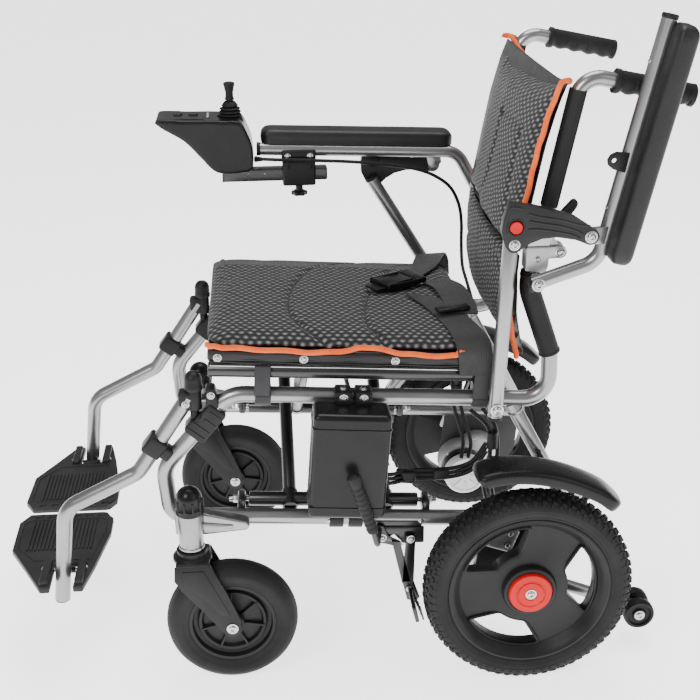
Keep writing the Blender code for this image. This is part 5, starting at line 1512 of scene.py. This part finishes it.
def cables():
    """The controller's lead, and the harness and link tubes under the seat."""
    lead = tube(smooth_path(CABLE_ROUTE, 8), 0.0030, 4)
    relief = [lathe([(0, 0), (0.0050, 0), (0.0050, 0.004), (0.0038, 0.0055), (0.0045, 0.0070),
                     (0.0036, 0.0090), (0.0041, 0.0105), (0.0033, 0.0125), (0, 0.0125)],
                    (-0.3868, 0.2150, 0.7040), (0.0128, -0.0045, 0.0005), 24)]
    add("controller_lead", [lead] + relief, CABLE_SKIN, "right_frame", ["controller_cable"])
    for name, side in SIDES.items():
        start = at(MOTOR, side * 0.1180)
        routes = [[start + Vector((0.004, 0, 0.034)), (-0.020, side * 0.130, 0.200),
                   (-0.036, side * 0.150, 0.262), (-0.034, side * 0.172, 0.330),
                   (-0.040, side * 0.176, 0.380), (-0.060, side * 0.178, 0.412)],
                  [start + Vector((-0.008, 0, 0.034)), (-0.034, side * 0.134, 0.205),
                   (-0.050, side * 0.154, 0.270), (-0.046, side * 0.174, 0.330),
                   (-0.050, side * 0.176, 0.378), (-0.078, side * 0.178, 0.410)]]
        wires = [tube(smooth_path(route, 8), 0.0034, 4) for route in routes]
        wires.append(tube([Vector((-0.043, side * 0.1755, 0.345)),
                           Vector((-0.044, side * 0.1765, 0.372))], 0.0085, 5))
        add(name + "_motor_leads", wires, CABLE_SKIN, name + "_frame")
        plug = [box((-0.0420, side * 0.1700, 0.3100), (0.017, 0.013, 0.030), 0.1, 0.002),
                box((-0.0420, side * 0.1700, 0.2905), (0.020, 0.015, 0.008), 0.1, 0.001)]
        add(name + "_motor_plug", plug, GREY_PLASTIC, name + "_frame")
    power = [(-0.214, -0.2185, 0.3250), (-0.200, -0.2060, 0.3150), (-0.165, -0.1770, 0.3050),
             (-0.115, -0.1745, 0.3030), (-0.075, -0.1740, 0.3130), (-0.052, -0.1745, 0.3450)]
    strands = [tube(smooth_path([Vector(p) + Vector((0, 0.002 * k, 0.0062 * k)) for p in power],
                                8), 0.0031, 4) for k in (-1, 0, 1)]
    strands += [box((-0.176, -0.1835, 0.3065), (0.030, 0.014, 0.020), 0.1, 0.003),
                box((-0.120, -0.1745, 0.3035), (0.024, 0.013, 0.017), 0.0, 0.003)]
    add("battery_lead", strands, CABLE_SKIN, "left_frame")


# --------------------------------------------------------------- soft goods

def puffed(item, voxel, cap, pressure=4.0):
    """Stuff a closed shape by a short cloth simulation and keep the result."""
    skin = item.modifiers.new("skin", "REMESH")
    skin.mode = "VOXEL"
    skin.voxel_size = voxel
    item = baked(item)
    rest = [vert.co.copy() for vert in item.data.vertices]
    cloth = item.modifiers.new("cloth", "CLOTH")
    cloth.settings.use_pressure = True
    cloth.settings.uniform_pressure_force = pressure
    cloth.settings.effector_weights.gravity = 0
    stage = bpy.context.scene
    for step in range(1, 21):
        stage.frame_set(step)
    item = baked(item)
    stage.frame_set(1)
    if len(rest) == len(item.data.vertices):
        for vert, start in zip(item.data.vertices, rest):
            shift = vert.co - start
            if shift.length > cap:
                vert.co = start + shift * (cap / shift.length)
    finer = item.modifiers.new("finer", "SUBSURF")
    finer.levels = finer.render_levels = 1
    return baked(item)


def line_distance(point, line):
    """Distance in a plane from a point to a broken line."""
    best = 1.0
    for a, b in zip(line, line[1:]):
        span = b - a
        t = max(0.0, min(1.0, (point - a).dot(span) / max(span.length_squared, 1e-12)))
        best = min(best, (point - a - span * t).length)
    return best


def lofted(loops):
    """A closed skin over loops with equal numbers of points."""
    work = bmesh.new()
    rings = [[work.verts.new(point) for point in loop] for loop in loops]
    count = len(rings[0])
    for one, two in zip(rings, rings[1:]):
        for n in range(count):
            m = (n + 1) % count
            work.faces.new((one[n], one[m], two[m], two[n]))
    work.faces.new(rings[0])
    work.faces.new(rings[-1])
    bmesh.ops.recalc_face_normals(work, faces=work.faces)
    return shaped(work, "loft")


def soft(name, items, finish, nodes=(), slot=None, fill=None, sharp=60):
    """Place a seat piece, loose in the frame, and hide the CAD nodes it stands for."""
    item = dressed(name, items, finish, sharp)
    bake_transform(item)
    declared(item, nodes)
    return item


SEAT_ARCS = [[Vector(p) for p in line] for line in (
    [(-0.266, 0.135), (-0.299, 0.098), (-0.331, 0.016), (-0.344, -0.062), (-0.341, -0.125),
     (-0.323, -0.167), (-0.302, -0.193), (-0.282, -0.209)],
    [(-0.15, 0.13), (-0.181, 0.079), (-0.214, -0.014), (-0.228, -0.089), (-0.23, -0.151),
     (-0.216, -0.187), (-0.197, -0.212)])]


def seat_arcs():
    """The two sewn arcs, finely divided and run on to the far edge."""
    lines = []
    for line in SEAT_ARCS:
        ahead = (line[0] - line[1]).normalized()
        points = [line[0] + ahead * 0.10 + Vector((0.02, 0))] + line
        lines.append([Vector((p.x, p.y)) for p in
                      smooth_path([Vector((q.x, q.y, 0)) for q in points], 5)])
    return lines


def seat():
    """Knitted cushion, vinyl sling and its screws, orange piping."""
    loops = []
    steps = 34
    front, rear, half = -0.4700, -0.0610, 0.2095
    for k in range(steps + 1):
        t = k / steps
        x = front + (rear - front) * (0.5 - 0.5 * math.cos(math.pi * t))
        inset_front = max(0.0, 0.040 - (x - front))
        inset_rear = max(0.0, 0.020 - (rear - x))
        width = half - (0.040 - math.sqrt(max(0, 0.040 ** 2 - inset_front ** 2))) \
            - (0.020 - math.sqrt(max(0, 0.020 ** 2 - inset_rear ** 2)))
        end = min(1.0, (x - front) / 0.045, (rear - x) / 0.030)
        puff = 0.45 + 0.55 * math.sqrt(max(0.0, 1 - (1 - end) ** 2))
        line = lift(RAIL_Z, x)
        low, high = line + 0.0335, line + 0.0335 + 0.0140 * puff
        loop = []
        count = 44
        for n in range(count):
            a = 2 * math.pi * n / count
            c, s = math.cos(a), math.sin(a)
            y = width * math.copysign(abs(c) ** 0.35, c)
            up = abs(s) ** 0.5
            crown = 0.0050 * (1 - (y / half) ** 2) * puff
            z = (low + high) / 2 + ((high - low) / 2 + crown) * up if s > 0 else \
                (low + high) / 2 - (high - low) / 2 * up
            loop.append(Vector((x, y, z)))
        loops.append(loop)
    cushion = puffed(lofted(loops), 0.0055, 0.0060)
    arcs = seat_arcs()
    for vert in cushion.data.vertices:
        if vert.co.z < lift(RAIL_Z, vert.co.x) + 0.0400:
            continue
        flat_point = Vector((vert.co.x, vert.co.y))
        for line in arcs:
            away = line_distance(flat_point, line)
            if away < 0.02:
                vert.co.z -= 0.0042 * math.exp(-(away / 0.0042) ** 2)
        vert.co.z += 0.0009 * noise.noise(vert.co * 22)
    fallen(cushion, 0.020, 0.60, 0.25)
    soft("seat_pad", cushion, SEAT_KNIT, ["seat_cushion"], "mesh_fabric", 0.75)
    seams = []
    for line in arcs:
        path = []
        for point in line:
            if abs(point.y) > 0.200:
                continue
            top = surface_height(cushion, point)
            if top is not None:
                path.append(Vector((point.x, point.y, top + 0.0001)))
        seams.append(tube(path, 0.0011, 3))
    soft("seat_seams", seams, WEB)
    seat_sling()


def fallen(item, base, half_way, edge):
    """Let the far side of a seat piece sink towards a height over the rail."""
    for vert in item.data.vertices:
        floor = lift(RAIL_Z, vert.co.x) + base
        if vert.co.z < floor or vert.co.y < 0.10:
            continue
        if vert.co.y < 0.18:
            share = 1 - (1 - half_way) * (vert.co.y - 0.10) / 0.08
        else:
            share = half_way + (edge - half_way) * min(1.0, (vert.co.y - 0.18) / 0.03)
        vert.co.z = floor + (vert.co.z - floor) * share


def surface_height(item, point):
    """Height of a mesh's top above an (x, y) point drawn from the axle."""
    hit, place, _, _ = item.ray_cast(Vector((point.x + AXLE_X, point.y, 1.0)),
                                     Vector((0, 0, -1)))
    return place.z if hit else None


def seat_sling():
    """Vinyl band over the rails with its screws, and the piping above it."""
    centre = -0.262
    band = box((centre, 0, lift(RAIL_Z, centre) + 0.0240), (0.404, 0.4235, 0.0195), TILT,
               0.0060, 5)
    hems = []
    for side in (-1, 1):
        for rise in (0.0160, 0.0205, 0.0270):
            path = [Vector((x, side * (0.2113 + 0.0006 * math.sin(x * 90)),
                            lift(RAIL_Z, x) + rise + 0.0006 * math.sin(x * 70 + rise * 900)))
                    for x in [centre - 0.198 + 0.0198 * k for k in range(21)]]
            hems.append(tube(path, 0.0015 if rise < 0.02 else 0.0008, 3))
    for vert in band.data.vertices:
        vert.co.y += 0.0006 * noise.noise(vert.co * 40)
    band = joined([band] + hems)
    fallen(band, 0.014, 0.95, 0.50)
    soft("seat_sling", band, VINYL)
    screws = []
    for side in (-1, 1):
        for x in (-0.449, -0.327, -0.196, -0.085):
            screws += bolt((x, side * 0.2116, lift(RAIL_Z, x) + 0.0225), (0, side, 0), 0.0046)
    soft("seat_screws", screws, ZINC)
    cords = []
    for side in (-1, 1):
        path = [Vector(p) for p in
                [(-0.060, side * 0.2110, 0.0400), (-0.098, side * 0.2120, 0.0415),
                 (-0.106, side * 0.2125, 0.0360), (-0.118, side * 0.2125, 0.0325),
                 (-0.165, side * 0.2125, 0.0330), (-0.200, side * 0.2125, 0.0370),
                 (-0.235, side * 0.2125, 0.0435), (-0.262, side * 0.2125, 0.0385),
                 (-0.300, side * 0.2125, 0.0340), (-0.345, side * 0.2125, 0.0350),
                 (-0.400, side * 0.2120, 0.0370), (-0.440, side * 0.2110, 0.0385),
                 (-0.456, side * 0.2085, 0.0388), (-0.4645, side * 0.2030, 0.0385)]]
        if side > 0:
            path = path[:-3]
        for point in path:
            point.z = lift(RAIL_Z, point.x) + (point.z if side < 0 else 0.0205)
        path = smooth_path(path, 6)
        for k, point in enumerate(path):
            point.z += 0.0009 * math.sin(k * 0.83)
        cords.append(tube(path, 0.0040 if side < 0 else 0.0026, 7))
        edge = [p + Vector((0, -side * 0.0040 if abs(p.y) > 0.19 else 0, -0.0012))
                for p in path]
        cords.append(tube(edge, 0.0016, 3))
    soft("seat_piping", cords, ORANGE)


def strap(path, wide, thick):
    """A flat strap: path of (point, direction across the strap)."""
    loops = [(Vector(place), Vector(across).normalized()) for place, across in path]
    rows = []
    last = len(loops) - 1
    for k, (place, across) in enumerate(loops):
        ahead = (loops[min(k + 1, last)][0] - loops[max(k - 1, 0)][0]).normalized()
        normal = ahead.cross(across).normalized()
        row = []
        for u, w in ((-0.5, -0.3), (-0.46, -0.5), (-0.2, -0.42), (0.2, -0.42), (0.46, -0.5),
                     (0.5, -0.3), (0.5, 0.3), (0.46, 0.5), (0.2, 0.42), (-0.2, 0.42),
                     (-0.46, 0.5), (-0.5, 0.3)):
            row.append(place + across * u * wide + normal * w * thick)
        rows.append(row)
    return lofted(rows)


def eased(points, per_span=6):
    """Smooth a path of (point, across) pairs."""
    places = smooth_path([place for place, _ in points], per_span)
    turns = smooth_path([across for _, across in points], per_span)
    return list(zip(places, turns))


def belt():
    """Lap belt across the rear of the seat, folded over itself at the buckle."""
    def up(x, more):
        return lift(RAIL_Z, x) + more

    far = [((-0.078, 0.2125, up(-0.078, 0.010)), (1, 0.0, 0)),
           ((-0.080, 0.2130, up(-0.08, 0.036)), (1, 0.0, 0.02)),
           ((-0.086, 0.2080, up(-0.09, 0.0495)), (1, 0.05, 0.0)),
           ((-0.098, 0.1600, up(-0.10, 0.0575)), (1, 0.12, 0.05)),
           ((-0.115, 0.1000, up(-0.11, 0.0610)), (1, 0.25, 0.08)),
           ((-0.140, 0.0500, up(-0.14, 0.0610)), (1, 0.45, 0.0)),
           ((-0.165, 0.0200, up(-0.16, 0.0625)), (0.9, 0.55, 0.0))]
    near = [((-0.078, -0.2150, up(-0.078, 0.004)), (1, 0.0, 0)),
            ((-0.079, -0.2152, up(-0.079, 0.020)), (1, 0.0, 0)),
            ((-0.082, -0.2145, up(-0.08, 0.0440)), (1, 0.0, 0.03)),
            ((-0.086, -0.2000, up(-0.09, 0.0570)), (1, -0.10, 0.02)),
            ((-0.096, -0.1500, up(-0.10, 0.0600)), (1, -0.20, 0.0)),
            ((-0.115, -0.0950, up(-0.11, 0.0630)), (1, -0.35, 0.0)),
            ((-0.140, -0.0450, up(-0.14, 0.0640)), (0.9, -0.45, 0.0))]
    straps = [strap(eased([(Vector(p), Vector(a)) for p, a in line]), 0.050, 0.0022)
              for line in (far, near)]
    fold = [((-0.105, 0.030, up(-0.105, 0.0625)), (1, 0.3, 0)),
            ((-0.090, -0.020, up(-0.09, 0.0690)), (1, 0.1, 0)),
            ((-0.084, -0.080, up(-0.084, 0.0680)), (1, -0.1, 0)),
            ((-0.086, -0.125, up(-0.086, 0.0655)), (1, -0.2, 0))]
    straps.append(strap(eased([(Vector(p), Vector(a)) for p, a in fold]), 0.048, 0.0022))
    soft("lap_belt", straps, WEB, ["seat_belt"], "belt_webbing", None, 50)
    plates = []
    for place, size, yaw, tilt in (((-0.176, 0.004, up(-0.176, 0.0680)), (0.056, 0.050, 0.0100),
                                    0.55, 0.05),
                                   ((-0.206, -0.020, up(-0.206, 0.0655)), (0.020, 0.030, 0.0040),
                                    0.55, 0.05),
                                   ((-0.143, 0.028, up(-0.143, 0.0690)), (0.020, 0.052, 0.0090),
                                    0.55, 0.0),
                                   ((-0.100, -0.118, up(-0.10, 0.0705)), (0.052, 0.018, 0.0060),
                                    0.25, 0.0)):
        item = moved(box((0, 0, 0), size, 0, 0.0025, 4), Matrix.Translation(place)
                     @ Matrix.Rotation(yaw, 4, "Z") @ Matrix.Rotation(tilt, 4, "Y"))
        plates.append(item)
    for s in (-0.019, 0.019):
        plates.append(moved(box((0, s, 0.0045), (0.048, 0.006, 0.004), 0, 0.0015),
                            Matrix.Translation((-0.176, 0.004, up(-0.176, 0.0680)))
                            @ Matrix.Rotation(0.55, 4, "Z")))
    soft("lap_buckle", plates, GLOSS)


def line_at(z):
    """The back's side view: x at a height."""
    for (z0, x0), (z1, x1) in zip(BACK_LINE, BACK_LINE[1:]):
        if z <= z1:
            return x0 + (x1 - x0) * (z - z0) / (z1 - z0)
    (z0, x0), (z1, x1) = BACK_LINE[-2:]
    return x0 + (x1 - x0) * (z - z0) / (z1 - z0)


BACK_SEAMS = [[(-0.006, 0.822), (-0.010, 0.790), (-0.008, 0.750), (0.000, 0.715),
               (0.020, 0.692), (0.060, 0.676), (0.105, 0.668), (0.190, 0.664)],
              [(-0.132, 0.822), (-0.134, 0.780), (-0.138, 0.740), (-0.146, 0.705),
               (-0.165, 0.684), (-0.200, 0.672)],
              [(-0.006, 0.822), (-0.069, 0.826), (-0.132, 0.822)],
              [(0.195, 0.600), (0.150, 0.590), (0.105, 0.592), (0.040, 0.612), (-0.053, 0.631),
               (-0.131, 0.638), (-0.172, 0.626), (-0.205, 0.604)]]


def back_skin(low, high, steps, count):
    """A closed crowned pad between two heights, square to the posts."""
    half = 0.2060
    loops = []
    for k in range(steps + 1):
        z = low + (high - low) * k / steps
        line = line_at(z)
        top = max(0.0, min(1.0, (0.899 - z) / 0.030))
        foot = max(0.0, min(1.0, (z - 0.505) / 0.030))
        full = 0.45 + 0.55 * math.sqrt(1 - (1 - min(top, foot)) ** 2)
        loop = []
        for n in range(count):
            a = 2 * math.pi * n / count
            c, s = math.cos(a), math.sin(a)
            y = half * math.copysign(abs(c) ** 0.40, c)
            arch = 1 - (y / half) ** 2
            skew = max(0.0, min(1.0, (z - 0.56) / 0.14))
            front = line + 0.0040 + 0.0429 * y * skew - 0.0190 * arch * full
            rear = line + 0.0060 - 0.0080 * arch + 0.0125 * skew * max(0.0, (y - 0.09) / 0.12)
            share = 0.5 - math.copysign(0.5 * abs(s) ** 0.5, s)
            over = max(0.0, (z - 0.86) / 0.039)
            loop.append(Vector((front + (rear - front) * share + 0.0130 * arch * over ** 2, y,
                                z - 0.0200 * arch * over)))
        loops.append(loop)
    return lofted(loops)


def back():
    """Upper and lower back pads with sewn channels, vinyl rear and piping."""
    for name, low, high, body, joint_part in (
            ("lower", 0.5065, 0.6608, "left_frame", "back_pad_lower"),
            ("upper", 0.6630, BACK_EDGE, "left_upper_back", "back_pad_upper")):
        steps = 22 if name == "lower" else 34
        pad = puffed(back_skin(low, high, steps, 52), 0.0055, 0.0050)
        seams = [[Vector(p) for p in smooth_line(line)] for line in BACK_SEAMS]
        for vert in pad.data.vertices:
            if vert.co.x > line_at(vert.co.z) - 0.002:
                continue
            spot = Vector((vert.co.y, vert.co.z))
            for line in seams:
                away = line_distance(spot, line)
                if away < 0.02:
                    vert.co.x += 0.0034 * math.exp(-(away / 0.0072) ** 2)
            vert.co.x += 0.0010 * noise.noise(vert.co * 20)
        for vert in pad.data.vertices:
            vert.co.z = min(vert.co.z, 0.6615) if name == "lower" else max(vert.co.z, 0.6622)
        piece = add("back_" + name, pad, BACK_KNIT, body, [joint_part], 60)
        folds(piece)
        rear = back_rear(low, high)
        folds(add("back_" + name + "_rear", rear, VINYL, body, (), 60))
        cords = []
        for side in (-1, 1):
            heights = [low + (high - low) * k / 24 for k in range(25)]
            path = [Vector((line_at(z) - 0.0048 + 0.0006 * math.sin(z * 160)
                            + (0.0190 + 0.0030 * max(0.0, min(1.0, (z - 0.56) / 0.10))
                               if side > 0 else 0.0),
                            side * (0.2062 + 0.0008 * math.sin(z * 95 + side)), z))
                    for z in heights]
            if name == "upper":
                edge = line_at(BACK_EDGE)
                path += [Vector((edge + off, side * y, z)) for off, y, z in
                         ((-0.0020, 0.2050, 0.9005), (0.0060, 0.2020, 0.9015),
                          (0.0110, 0.1880, 0.8970), (0.0120, 0.1500, 0.8890),
                          (0.0120, 0.1150, 0.8860))]
            else:
                path = [Vector((line_at(low) + 0.0010, side * 0.1750, low + 0.0005)),
                        Vector((line_at(low) - 0.0030, side * 0.1970, low + 0.0005))] + path
            path = smooth_path(path, 3)
            cords.append(tube(path, 0.0038, 7))
            cords.append(tube([p + Vector((0.0024, -side * 0.0036, 0)) for p in path], 0.0014,
                              3))
        folds(add("back_" + name + "_piping", cords, ORANGE, body, (), 60))


def smooth_line(line):
    """A smooth finely divided copy of a flat line."""
    path = smooth_path([Vector((p[0], p[1], 0)) for p in line], 5)
    return [(p.x, p.y) for p in path]


def folds(piece):
    """Give a back piece its own copy of its mesh."""
    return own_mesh(piece)


def back_rear(low, high):
    """Vinyl cover behind the pad, hemmed at the edges."""
    loops = []
    for k in range(25):
        z = low + 0.002 + (high - low - 0.004) * k / 24
        line = line_at(z)
        loop = []
        for n in range(40):
            a = 2 * math.pi * n / 40
            c, s = math.cos(a), math.sin(a)
            y = 0.2040 * math.copysign(abs(c) ** 0.35, c)
            arch = 1 - (y / 0.2040) ** 2
            x = line + 0.0052 + 0.0016 * s * abs(s) ** -0.3 if abs(s) > 0.01 else line + 0.0052
            x += 0.0008 * math.sin(z * 60) * arch - 0.0030 * arch
            loop.append(Vector((x, y, z)))
        loops.append(loop)
    hems = [tube([Vector((line_at(z) + 0.0066, side * 0.197, z)) for z in
                  [low + 0.004 + (high - low - 0.008) * k / 12 for k in range(13)]], 0.0010, 2)
            for side in (-1, 1)]
    return joined([lofted(loops)] + hems)


# -------------------------------------------------------------------- build

for label, sign in SIDES.items():
    side_frame(label, sign)
    drive_tyre(label, sign)
    drive_rim(label, sign)
    caster(label, sign)
    caster_fork(label, sign)
    tip_wheels(label, sign)
    motor(label, sign)
    fender(label, sign)
    hanger(label, sign)
    footplate(label, sign)
    armrest(label, sign, label == "left")
    bracket(label, sign, label == "left")
    upper_back(label, sign)
    brake(label, sign)
brace_leg("a", -1, (-0.352, -0.206), "cross_leg_a")
brace_leg("b", 1, (-0.3295, -0.1835), "cross_leg_b")
control()
battery()
cables()
seat()
belt()
back()
